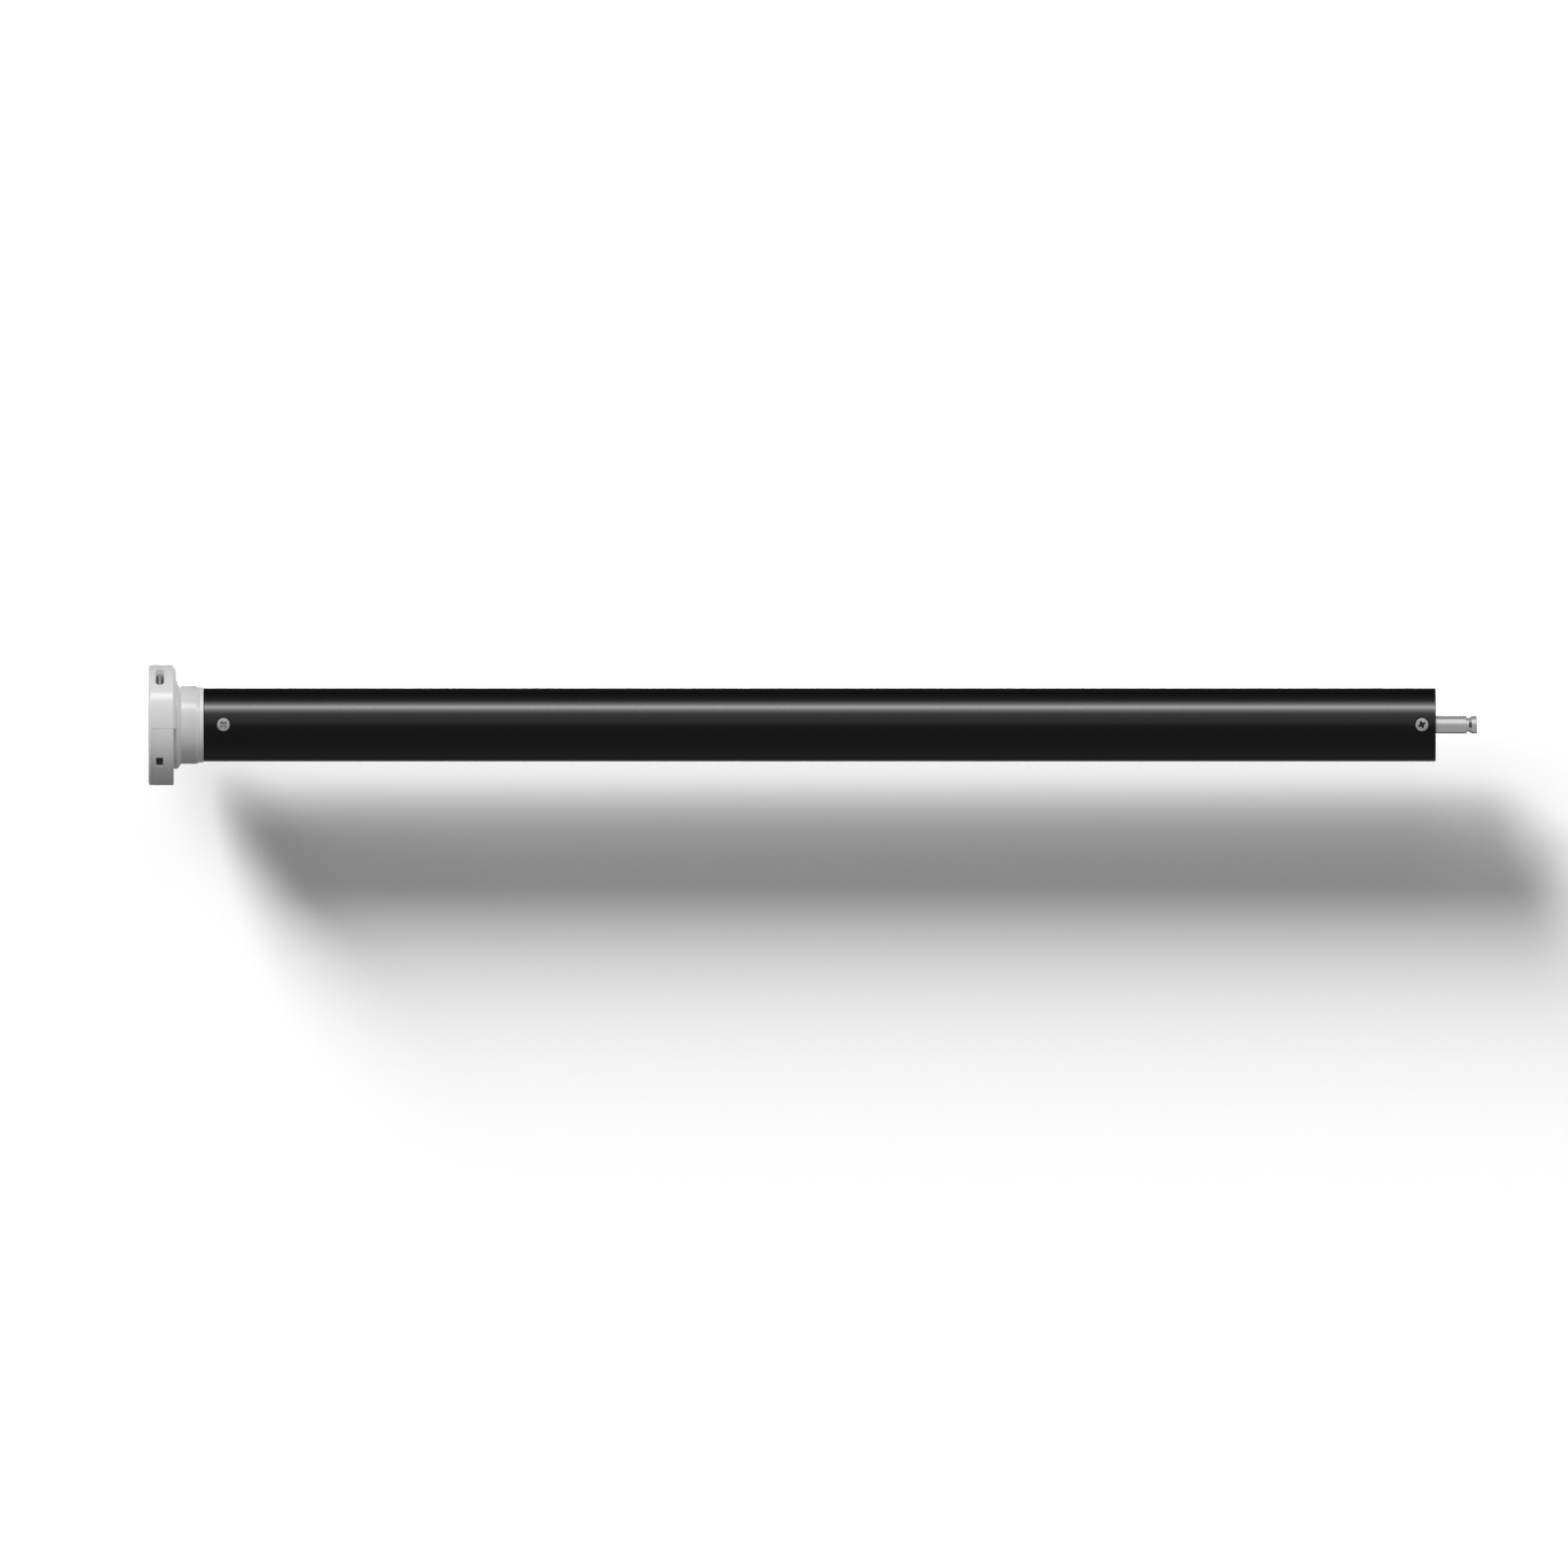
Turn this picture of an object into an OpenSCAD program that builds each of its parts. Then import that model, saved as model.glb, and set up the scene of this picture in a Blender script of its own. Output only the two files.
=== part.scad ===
// Tubular roller blind motor with its own battery, for a 25 mm motor tube.
// The origin is the centre of the head's outer face. +X runs along the tube to the
// output shaft, +Z is up, and the side with the charging port and button faces -Y.
// Angles round the axis start at the back (+Y) and go over the top (+Z).

/* [Head] */
// Radius of the round head
head_r = 20.5; // [19.6:0.1:24]
// Depth of the head's upper half
head_depth = 9.3; // [9.1:0.1:11]
// Thickness of the head's face
face_wall = 1.6; // [1.4:0.1:2]
// Thickness of the head's rim
rim_wall = 2; // [1.6:0.1:2.2]
// Thickness of the wall that carries the neck
back_wall = 2; // [1.6:0.1:2.2]
// Rounding of the head's face edge
edge_r = 0.8; // [0.3:0.1:1.2]
// Chamfer at the back of the upper rim
back_chamfer = 1; // [0.3:0.1:1.4]
// Width of the face's own edge, in front of the cover
face_lip = 1.3; // [1:0.05:1.35]
// How far the seam of the cover lies below the axis
seam_drop = 1.4; // [0.5:0.1:2.4]
// Width of the seams round the cover
seam_gap = 0.4; // [0.2:0.05:0.6]
// Gap between the cover and the neck's flange
cover_gap = 0.3; // [0.2:0.05:0.6]
// Distance of the cover's screws from the head's outside
cover_screw_inset = 3.9; // [3.8:0.1:4.1]

/* [Bracket fixing] */
// Distance of the threaded inserts from the axis
insert_pcr = 14; // [13.8:0.1:14.1]
// Radius of the inserts' threaded hole
insert_bore_r = 1.5; // [1.2:0.1:1.6]
// Outside radius of the inserts
insert_r = 2.2; // [1.9:0.1:2.3]
// Length of the inserts
insert_len = 4; // [3:0.5:4.5]

/* [Charging port and button] */
// Place of the charging port round the rim
port_angle = 127; // [125:1:130]
// Width of the port's shell
port_w = 8.94; // [8.6:0.02:9.1]
// Height of the port's shell
port_h = 3.26; // [3:0.02:3.3]
// Depth of the port's shell
port_len = 7.35; // [6.5:0.05:7.6]
// Thickness of the port's tongue
tongue_t = 0.8; // [0.6:0.05:0.9]
// How far the port's mouth lies under the top of the rim
port_recess = 0.9; // [0.8:0.1:1.3]
// Place of the button round the rim
button_angle = 218.5; // [216:0.5:221]
// Distance of the button's centre from the face
button_x = 3.75; // [3.6:0.05:3.9]
// Size of the button along the axis
button_w = 1.95; // [1.6:0.05:2.1]
// Size of the button round the rim
button_h = 3.4; // [2.8:0.1:3.8]
// How far the button lies under the top of the rim
button_recess = 1; // [0.7:0.1:1.5]
// Travel of the button
button_travel = 0.4; // [0.2:0.05:0.5]

/* [Neck and crown ring] */
// Length of the neck's tapered flange
flange_len = 2; // [1.6:0.1:3]
// Length of the crown ring's seat
ring_len = 6.5; // [5:0.5:12]
// How far the crown ring stands out from the tube
ring_rise = 0.8; // [0.5:0.1:1.5]
// Chamfer of the crown ring towards the tube
ring_chamfer = 0.5; // [0.2:0.1:0.8]
// Thickness of the thrust washer
washer_len = 1.2; // [0.8:0.1:2]
// Length of the neck's plug inside the tube
plug_len = 15.4; // [12:0.2:20]
// Radius of the bore for the cable
cable_bore_r = 5; // [4:0.1:5.4]

/* [Tube] */
// Outside radius of the motor tube
tube_r = 12.5; // [12.5:0.1:13.5]
// Wall of the motor tube
tube_wall = 1; // [0.8:0.05:1]
// Radius of the tube screws' heads
screw_head_r = 2.15; // [1.8:0.05:2.3]
// Radius of the tube screws' threads
screw_r = 1.25; // [1:0.05:1.4]
// Distance of the neck's screws from the tube end
neck_screw_inset = 6.8; // [5:0.1:9]
// Distance of the end block's screws from the tube end
block_screw_inset = 4.7; // [4.6:0.1:5.4]

/* [Electronics] */
// Length of the board tray
tray_len = 58; // [56:1:80]
// Width of the control board
board_w = 19; // [18.4:0.1:19.4]
// Thickness of the circuit boards
board_t = 1; // [0.8:0.1:1.2]

/* [Battery] */
// Radius of a cell
cell_r = 9.15; // [8.9:0.05:9.2]
// Length of a cell with its cap
cell_len = 65.2; // [60:0.1:70]
// Thickness of the foam pads
pad_len = 4; // [3.6:0.2:6]
// Room for the leads between the pack and the sensor board
lead_room = 8.1; // [6:0.1:30]

/* [Motor] */
// Radius of the motor's can
motor_r = 10.9; // [10.7:0.05:10.95]
// Length of the motor with its end bell
motor_len = 52; // [46:0.5:60]
// Radius of the rotor
rotor_r = 7.5; // [7.3:0.05:7.6]
// Radius of the motor's shaft
shaft_r = 1; // [0.9:0.05:1.1]
// Length of the brake housing
brake_len = 16; // [14:0.5:20]

/* [Gearbox] */
// Module of all the gears
gear_module = 0.45; // [0.42:0.01:0.45]
// Teeth of each sun gear
sun_teeth = 12; // [9, 12]
// Teeth of each planet gear
planet_teeth = 15; // [9, 15]
// Face width of the first stage's planets
face_1 = 5; // [4:0.5:8]
// Face width of the second stage's planets
face_2 = 5.5; // [4:0.5:8]
// Face width of the third stage's planets
face_3 = 8.5; // [6:0.5:12]
// Radius of the planets' pins
pin_r = 1.1; // [0.8:0.05:1.1]

/* [Output] */
// Length of the end block
block_len = 19.6; // [18.2:0.2:26]
// How far the end block lies inside the tube's end
block_recess = 0.5; // [0.2:0.1:1]
// Radius of the output shaft in its bushes
journal_r = 4; // [3.5:0.1:4.2]
// Radius of the output shaft outside
drive_r = 3; // [2.5:0.1:3.2]
// Length of the output shaft past the tube's end
drive_len = 13.9; // [12:0.1:20]
// Radius of the output shaft in its ring groove
groove_r = 2.35; // [2:0.05:2.4]

/* [Hidden] */
$fn = 72;

// Fits: pressed together, sliding in the tube, and turning on a shaft
seat_gap = 0.03;
slide_gap = 0.1;
run_gap = 0.06;
// Gap beside a part that turns
side_gap = 0.1;
// How far a cut runs past what it cuts
cut = 1;
fillet_steps = 5;

light_grey = [0.80, 0.80, 0.80];
dark_plastic = [0.12, 0.12, 0.13];
steel = [0.72, 0.73, 0.74];
brass = [0.80, 0.65, 0.30];
copper = [0.75, 0.42, 0.22];
board_green = [0.10, 0.35, 0.18];

// Head, from the back wall to the face
rim_in = head_r - rim_wall;
flange_sink = 0.4;
flange_x = head_depth - flange_sink;
cavity_x = flange_x - back_wall;
board_gap = 0.4;
board_x = cavity_x - board_gap - board_t;
port_x = board_x - seat_gap - port_h / 2;
seam_z = -seam_drop;
cover_back = flange_x - cover_gap;
cover_wall = back_wall - cover_gap - 0.1;
cover_edge_r = 0.5;
lip_wall = 1;
lip_len = 0.5;
lip_reach = 1.5;
lip_r = rim_in - 0.1;
cavity_r = lip_r - lip_wall;

// Neck, ring and tube
tube_in = tube_r - tube_wall;
plug_r = tube_in - seat_gap;
neck_r = tube_in;
ring_r = tube_r + ring_rise;
flange_rise = 1.7;
flange_tip_rise = 0.2;
washer_rise = 0.25;
flange_r = ring_r + flange_rise;
flange_tip_r = ring_r + flange_tip_rise;
hub_r = flange_r - 2;
washer_r = tube_r + washer_rise;
ring_x = flange_x + flange_len;
washer_x = ring_x + ring_len;
tube_x = washer_x + washer_len;
plug_x = tube_x + plug_len;
keyway_w = 3;
keyway_depth = 0.8;

// Screws of the head
boss_r = insert_r + 1;
insert_angles = [0, 90, 180, 270];
cover_screw_angles = [198, 342];
cover_screw_r = head_r - cover_screw_inset;
cover_screw_thread_r = 0.8;
cover_screw_head_r = 1.5;
cover_screw_head_t = 0.7;
cover_screw_len = 5;
cover_screw_x = cover_back - cover_screw_head_t - 0.1;
post_r = 1.7;
neck_screw_angles = [30, 150, 270];
neck_screw_pcr = (cable_bore_r + neck_r) / 2;
neck_screw_r = 1.2;
neck_screw_head_r = 2;
neck_screw_head_t = 1.4;
neck_screw_len = 10;

// Charging port, button and board in the head
port_mouth = head_r - port_recess;
port_wall = 0.3;
port_fit = 0.12;
window_w = 8.4;
window_h = 2.9;
tongue_w = 6.7;
tongue_recess = 0.7;
button_fit = 0.2;
button_top = head_r - button_recess;
button_flange_t = 1;
button_flange_w = 0.4;
button_flange_h = 0.8;
button_stop = sqrt(pow(rim_in, 2) - pow(button_h / 2 + button_flange_h, 2)) - 0.2;
button_stem_r = 0.7;
button_spare = 0.8;
stem_reach = 0.6;
switch_top = button_stop - button_flange_t - button_travel - button_spare;
switch_len = 3.2;
switch_w = 6;
switch_h = 3;
stem_end = switch_top - stem_reach;
head_board_in = neck_screw_pcr + neck_screw_head_r + 0.35;
head_board_r = insert_pcr + 1;
tab_r = cavity_r - 0.3;

// Control board and its tray
tray_gap = 2;
tray_x = plug_x + tray_gap;
tray_end = tray_x + tray_len;
tray_r = tube_in - slide_gap;
tray_wall = 1.2;
board_z = -4.6;
board_top = board_z + board_t;
tray_top = board_top + 0.8;
control_x = tray_x + 2;
control_len = tray_len - 4;
board_plug_x = 2;
connector_w = 6;
connector_h = 4;
connector_len = 6;
connector_side = 0.8;

// Battery pack
lead_turn = 2;
pad_x = tray_end + lead_turn;
pack_x = pad_x + pad_len;
cells = 3;
cell_cap_len = 1.2;
cell_cap_r = 2.9;
cell_gap = 0.1;
pack_end = pack_x + cells * (cell_len + cell_gap);
sleeve_in = cell_r + 0.05;
sleeve_out = sleeve_in + 0.3;
lead_floor = 5;
spacer_len = 6;
protection_end = pack_end + board_t;
pad_end = protection_end + pad_len;

// Leads run above the pack, in the middle of the gap between its sleeve and the tube
lead_ring_r = (sleeve_out + tube_in) / 2;
battery_lead_y = [-5.2, -3.4];
motor_lead_y = [-0.9, 0.9];
sensor_lead_y = [3.2, 4.5, 5.8, 7.1];
power_wire_r = 0.65;
sensor_wire_r = 0.45;
lead_x = control_x + control_len;
lead_z = board_top + connector_h / 2;

// Cable from the head: its plug on the head's board, and its route to the control board
cable_angle = 315;
cable_r = 1.4;
cable_x = board_x - 1.5;
plug_face_r = 11.5;
head_plug = [3.2, 6, 3];

// Motor, from its end bell to its front
sensor_x = pad_end + lead_room;
sensor_chip_t = 1.2;
magnet_gap = 1;
encoder_x = sensor_x + board_t + sensor_chip_t + magnet_gap;
encoder_len = 3;
encoder_r = 4;
motor_x = encoder_x + encoder_len + 1.8;
motor_end = motor_x + motor_len;
can_wall = 1;
can_in = motor_r - can_wall;
can_front = 1.5;
bell_lip = 1;
bell_x = motor_x + 4.5;
brush_x = bell_x + 1.7;
brush_len = 3;
brush_w = 2.4;
commutator_r = 3;
commutator_x = bell_x + 0.7;
commutator_len = 5;
bar_t = 0.7;
bar_gap = 0.3;
holder_len = 5.7;
holder_in = 4;
holder_out = 8.6;
holder_w = 4.4;
brush_out = 7.4;
peg_r = 1.3;
peg_pcr = 7;
peg_angles = [90, 210, 330];
poles = 5;
core_hub_r = 3.2;
pole_t = 1;
pole_half_angle = 29;
tooth_w = 2.4;
coil_w = 4.5;
coil_reach = 2.2;
coil_in = core_hub_r + 0.2;
coil_h = rotor_r - pole_t - coil_in - 0.5;
core_x = commutator_x + commutator_len + coil_reach + 1.6;
core_end = motor_end - 2 * coil_reach - 9.6;
magnet_r = rotor_r + 0.45;
bush_inset = 0.6;
bush_len = 3;
bush_r = 2.8;
bush_boss_r = 4;

// Brake
brake_end = motor_end + brake_len;
brake_front = 2;
hub_x = motor_end + 1.5;
hub_end = brake_end - brake_front - 1;
brake_hub_r = 5;
spring_wire_r = 0.45;
spring_r = brake_hub_r + spring_wire_r + 0.15;
drum_r = spring_r + spring_wire_r + 0.35;
hub_flange_t = 0.8;
spring_pitch = 1.3;
spring_sides = 6;
spring_steps = 20;
motor_screw_pcr = 8.9;
motor_screw_r = 1;
motor_screw_head_r = 1.7;
motor_screw_head_t = 1.5;
motor_screw_angles = [30, 210];
motor_screw_x = brake_end - motor_screw_head_t - 0.1;

// Planetary gears: the ring has as many teeth as the sun and two planets
ring_teeth = sun_teeth + 2 * planet_teeth;
pressure_angle = 25;
addendum = 0.8 * gear_module;
dedendum = gear_module;
flank_play = 0.035;
flank_steps = 4;
centre_r = gear_module * (sun_teeth + planet_teeth) / 2;
ring_tip_r = gear_module * ring_teeth / 2 - addendum;
ring_root_r = gear_module * ring_teeth / 2 + dedendum;
carrier_r = ring_tip_r - 0.3;
planet_angles = [0, 120, 240];
gear_room = 0.6;
disc_gap = 0.5;
face = [face_1, face_2, face_3];
disc = [2, 2.5, 3.5];
gear_x = brake_end;
gear_end = disc_end(2) + 0.7;
dog_w = 5;
dog_len = 1.5;
dog_angles = [60, 180, 300];

// Output
block_end = gear_end + block_len;
tube_end = block_end + block_recess;
pocket_depth = 3.2;
pocket_r = 7;
pocket_x = block_end - pocket_depth;
output_bush_len = 5;
output_bush_r = journal_r + 1.5;
journal_end = block_end - 1.6;
clip_x = pocket_x + 0.1;
clip_t = 0.6;
clip_r = journal_r + 2;
clip_groove_r = journal_r - 0.6;
drive_end = tube_end + drive_len;
groove_len = 1.9;
tip_len = 1.6;
groove_x = drive_end - tip_len - groove_len;
flat_depth = 0.5;
flat_len = 4.5;
flat_gap = 0.5;
flat_x = groove_x - flat_gap - flat_len;
screw_angles = [60, 180, 300];
screw_tip_r = 6.6;
block_screw_tip_r = pocket_r + 0.3;

// Where a gear stage starts, where its planets start and end, and its carrier's disc
function stage_x(s) = s == 0 ? gear_x : disc_end(s - 1);
function planet_x(s) = stage_x(s) + gear_room;
function planet_end(s) = planet_x(s) + face[s];
function disc_x(s) = planet_end(s) + disc_gap;
function disc_end(s) = disc_x(s) + disc[s];

// Height of a lead that runs above the pack at a given place across it
function lead_top(y) = sqrt(pow(lead_ring_r, 2) - pow(y, 2));

// Local z runs along +X, local x to the back and local y up
module along(x) {
    translate([x, 0, 0]) rotate([90, 0, 90]) children();
}

// Local z points away from the axis at an angle round it, local x stays on X
module radial(x, angle) {
    translate([x, 0, 0]) rotate([angle - 90, 0, 0]) children();
}

// Children at a distance from the axis, at an angle round it, with local z along +X
module at(x, r, angle) {
    along(x) rotate(angle) translate([r, 0, 0]) children();
}

// Body of revolution round the axis, from points of radius and distance along X
module turned(points) {
    along(0) rotate_extrude() polygon(points);
}

module rod(x0, x1, r) {
    along(x0) cylinder(r = r, h = x1 - x0);
}

module tube_piece(x0, x1, r_in, r_out) {
    difference() {
        rod(x0, x1, r_out);
        rod(x0 - cut, x1 + cut, r_in);
    }
}

// Flat outline of a ring, and of the slice of it between two angles
module ring_2d(r_in, r_out) {
    difference() {
        circle(r = r_out);
        circle(r = r_in);
    }
}

module slice_2d(a0, a1, r) {
    mid = (a0 + a1) / 2;
    far = 2 * r;
    polygon([[0, 0], far * [cos(a0), sin(a0)], far * [cos(mid), sin(mid)], far * [cos(a1), sin(a1)]]);
}

// Outline with two round ends, tall in local y
module slot_2d(h, w) {
    square([h, w - h], center = true);
    for (side = [-1, 1]) translate([0, side * (w - h) / 2]) circle(d = h);
}

// Everything above or below a height, for cutting halves
module above(z) {
    translate([-cut, -2 * head_r, z]) cube([head_depth + 2 * cut, 4 * head_r, 2 * head_r]);
}

module below(z) {
    translate([-cut, -2 * head_r, z - 2 * head_r]) cube([head_depth + 2 * cut, 4 * head_r, 2 * head_r]);
}

// Points of a rounded corner, from angle a0 to a1 round its centre
function corner(cr, cx, r, a0, a1) =
    [for (i = [0:fillet_steps]) let (a = a0 + (a1 - a0) * i / fillet_steps)
        [cr + r * cos(a), cx + r * sin(a)]];

// Involute gear outline: angle between a tooth's middle and its flank at each radius
function involute(base_r, r) = let (a = acos(min(1, base_r / r))) tan(a) * 180 / PI - a;
function half_tooth(teeth, r, play) =
    let (pitch_r = gear_module * teeth / 2, base_r = pitch_r * cos(pressure_angle))
    90 / teeth + involute(base_r, pitch_r) - involute(base_r, max(r, base_r)) - play / pitch_r * 180 / PI;
function flank_radii(teeth, root_r, tip_r) =
    let (start = max(root_r, gear_module * teeth / 2 * cos(pressure_angle)))
    concat(root_r < start ? [root_r] : [],
        [for (i = [0:flank_steps]) start + (tip_r - start) * i / flank_steps]);
function gear_points(teeth, root_r, tip_r, play) =
    let (radii = flank_radii(teeth, root_r, tip_r), last = len(radii) - 1)
    [for (k = [0:teeth - 1]) each concat(
        [for (i = [0:last]) let (a = 360 * k / teeth - half_tooth(teeth, radii[i], play))
            radii[i] * [cos(a), sin(a)]],
        [for (i = [last:-1:0]) let (a = 360 * k / teeth + half_tooth(teeth, radii[i], play))
            radii[i] * [cos(a), sin(a)]])];

module gear_2d(teeth) {
    pitch_r = gear_module * teeth / 2;
    polygon(gear_points(teeth, pitch_r - dedendum, pitch_r + addendum, flank_play));
}

// Tube swept along points, as a faceted body: ref is any direction off the path
function unit(v) = v / norm(v);
function heading(points, i) = unit(points[min(i + 1, len(points) - 1)] - points[max(i - 1, 0)]);
module swept(points, r, ref, sides = 8) {
    rings = [for (i = [0:len(points) - 1])
        let (d = heading(points, i), u = unit(cross(d, ref)), v = cross(d, u))
        for (k = [0:sides - 1]) let (a = 360 * k / sides) points[i] + r * (cos(a) * u + sin(a) * v)];
    tube_of_rings(rings, len(points), sides);
}

module tube_of_rings(rings, count, sides) {
    walls = [for (i = [0:count - 2], k = [0:sides - 1])
        let (a = i * sides + k, b = i * sides + (k + 1) % sides)
        each [[a, a + sides, b], [b, a + sides, b + sides]]];
    last = (count - 1) * sides;
    caps = [for (k = [1:sides - 2]) each [[0, k, k + 1], [last, last + k + 1, last + k]]];
    polyhedron(rings, concat(walls, caps));
}

// Head

module head_body() {
    rim = concat([[0, 0]], corner(head_r - edge_r, edge_r, edge_r, -90, 0),
        [[head_r, head_depth - back_chamfer], [head_r - back_chamfer, head_depth], [0, head_depth]]);
    edge = concat([[0, 0]], corner(head_r - edge_r, edge_r, edge_r, -90, 0),
        [[head_r, face_lip], [0, face_lip]]);
    color(light_grey) difference() {
        union() {
            difference() {
                union() {
                    turned(edge);
                    intersection() {
                        turned(rim);
                        above(seam_z);
                    }
                    // lips inside the cover's edges
                    rod(edge_r, face_wall + lip_len, lip_r);
                    intersection() {
                        rod(edge_r, cavity_x, lip_r);
                        above(seam_z - lip_reach);
                    }
                }
                rod(face_wall, cavity_x, cavity_r);
            }
            rod(cavity_x, flange_x, hub_r);
            // bosses and posts, inside the cover
            intersection() {
                rod(0, flange_x, lip_r);
                union() {
                    for (a = insert_angles) {
                        at(edge_r, insert_pcr, a) cylinder(r = boss_r, h = board_x - edge_r);
                    }
                    for (a = cover_screw_angles) {
                        at(edge_r, cover_screw_r, a) cylinder(r = post_r, h = cavity_x - edge_r);
                    }
                }
            }
        }
        rod(flange_x, head_depth + cut, flange_r + 0.15);
        rod(cavity_x - cut, flange_x + cut, cable_bore_r);
        for (a = neck_screw_angles) {
            at(cavity_x - cut, neck_screw_pcr, a) cylinder(r = neck_screw_r + 0.2, h = back_wall + 2 * cut);
        }
        for (a = insert_angles) {
            at(-cut, insert_pcr, a) cylinder(r = insert_r + seat_gap, h = insert_len + cut);
            at(-cut, insert_pcr, a) cylinder(r = insert_bore_r, h = board_x + 2 * cut);
        }
        for (a = cover_screw_angles) {
            at(face_wall, cover_screw_r, a) cylinder(r = cover_screw_thread_r + seat_gap, h = cavity_x);
        }
        radial(port_x, port_angle) {
            translate([0, 0, cavity_r - cut]) linear_extrude(port_mouth - cavity_r + cut) {
                slot_2d(port_h + 2 * port_fit, port_w + 2 * port_fit);
            }
            translate([0, 0, cavity_r]) linear_extrude(head_r) slot_2d(window_h, window_w);
        }
    }
}

module head_cover() {
    x0 = face_lip + slide_gap;
    section = concat([[rim_in, x0], [head_r, x0]],
        corner(head_r - cover_edge_r, cover_back - cover_edge_r, cover_edge_r, 0, 90),
        [[hub_r + 0.3, cover_back], [hub_r + 0.3, cover_back - cover_wall],
        [rim_in, cover_back - cover_wall]]);
    color(light_grey) difference() {
        intersection() {
            turned(section);
            below(seam_z - seam_gap);
        }
        radial(button_x, button_angle) translate([0, 0, head_r]) {
            cube([button_w + 2 * button_fit, button_h + 2 * button_fit, 3 * rim_wall], center = true);
        }
        for (a = cover_screw_angles) {
            at(cavity_x - cut, cover_screw_r, a) {
                cylinder(r = cover_screw_thread_r + 0.2, h = back_wall + 2 * cut);
            }
            at(cover_screw_x, cover_screw_r, a) cylinder(r = cover_screw_head_r + 0.2, h = cut);
        }
    }
}

// Screw along +X or radially outwards: head's underside at local z = 0, recess in its top
module cross_recess(r, depth) {
    for (turn = [0, 90]) rotate(40 + turn) translate([0, 0, -depth / 2 + cut / 2]) {
        cube([2 * r, 0.3 * r, depth + cut], center = true);
    }
}

module pan_screw(thread_r, len, cap_r, cap_t) {
    difference() {
        union() {
            translate([0, 0, -len]) cylinder(r = thread_r, h = len);
            cylinder(r = cap_r, h = cap_t);
        }
        translate([0, 0, cap_t]) cross_recess(0.6 * cap_r, 0.6 * cap_t);
    }
}

module cover_screws() {
    color(steel) for (a = cover_screw_angles) at(cover_screw_x, cover_screw_r, a) {
        pan_screw(cover_screw_thread_r, cover_screw_len, cover_screw_head_r, cover_screw_head_t);
    }
}

module bracket_inserts() {
    color(brass) for (a = insert_angles) at(0, insert_pcr, a) difference() {
        cylinder(r = insert_r, h = insert_len);
        translate([0, 0, -cut]) cylinder(r = insert_bore_r, h = insert_len + 2 * cut);
    }
}

module port_shell() {
    color(steel) radial(port_x, port_angle) difference() {
        translate([0, 0, port_mouth - port_len]) linear_extrude(port_len) slot_2d(port_h, port_w);
        translate([0, 0, port_mouth - port_len + port_wall]) linear_extrude(port_len) {
            slot_2d(port_h - 2 * port_wall, port_w - 2 * port_wall);
        }
    }
}

module port_tongue() {
    base_z = port_mouth - port_len + port_wall;
    h = port_h - 2 * port_wall - 2 * seat_gap;
    w = port_w - 2 * port_wall - 2 * seat_gap;
    tongue_len = port_mouth - tongue_recess - base_z;
    color(light_grey) radial(port_x, port_angle) translate([0, 0, base_z]) {
        linear_extrude(1.5) slot_2d(h, w);
        translate([-tongue_t / 2, -tongue_w / 2, 0]) cube([tongue_t, tongue_w, tongue_len]);
    }
}

module head_board() {
    color(board_green) along(board_x) linear_extrude(board_t) difference() {
        union() {
            circle(r = head_board_r);
            for (a = [port_angle, button_angle]) intersection() {
                circle(r = tab_r);
                slice_2d(a - 16, a + 16, head_r);
            }
        }
        circle(r = head_board_in);
        for (a = cover_screw_angles) rotate(a) translate([cover_screw_r, 0]) circle(r = post_r + 0.3);
    }
}

module button_switch() {
    color(dark_plastic) radial(board_x - switch_h / 2, button_angle) difference() {
        translate([-switch_h / 2, -switch_w / 2, switch_top - switch_len]) {
            cube([switch_h, switch_w, switch_len]);
        }
        translate([button_x - board_x + switch_h / 2, 0, stem_end - 1]) {
            cylinder(r = button_stem_r + 0.2, h = switch_len + cut);
        }
    }
}

module program_button() {
    base = button_stop - button_flange_t;
    flange = [button_w + 2 * button_flange_w, button_h + 2 * button_flange_h, button_flange_t];
    color(dark_plastic) radial(button_x, button_angle) {
        translate([-button_w / 2, -button_h / 2, base]) cube([button_w, button_h, button_top - base]);
        translate([-flange[0] / 2, -flange[1] / 2, base]) cube(flange);
        translate([0, 0, stem_end]) cylinder(r = button_stem_r, h = button_stop - stem_end);
    }
}

// Neck, crown ring and washer

module neck() {
    end_chamfer = 0.6;
    section = [[cable_bore_r, flange_x], [flange_r - 0.4, flange_x], [flange_r, flange_x + 0.4],
        [flange_r, flange_x + 0.45 * flange_len], [flange_tip_r, ring_x], [neck_r, ring_x],
        [neck_r, tube_x], [plug_r, tube_x], [plug_r, plug_x - end_chamfer],
        [plug_r - end_chamfer, plug_x], [cable_bore_r, plug_x]];
    color(light_grey) difference() {
        turned(section);
        for (a = neck_screw_angles) {
            at(flange_x - cut, neck_screw_pcr, a) cylinder(r = neck_screw_r + seat_gap, h = neck_screw_len);
        }
        for (a = screw_angles) {
            radial(tube_x + neck_screw_inset, a) translate([0, 0, screw_tip_r - 0.2]) {
                cylinder(r = screw_r + seat_gap, h = plug_r);
            }
        }
    }
}

module neck_screws() {
    // the heads lie inside the head, so each screw is turned to point along +X
    color(steel) for (a = neck_screw_angles) at(cavity_x, neck_screw_pcr, a) mirror([0, 0, 1]) {
        pan_screw(neck_screw_r, neck_screw_len, neck_screw_head_r, neck_screw_head_t);
    }
}

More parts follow.
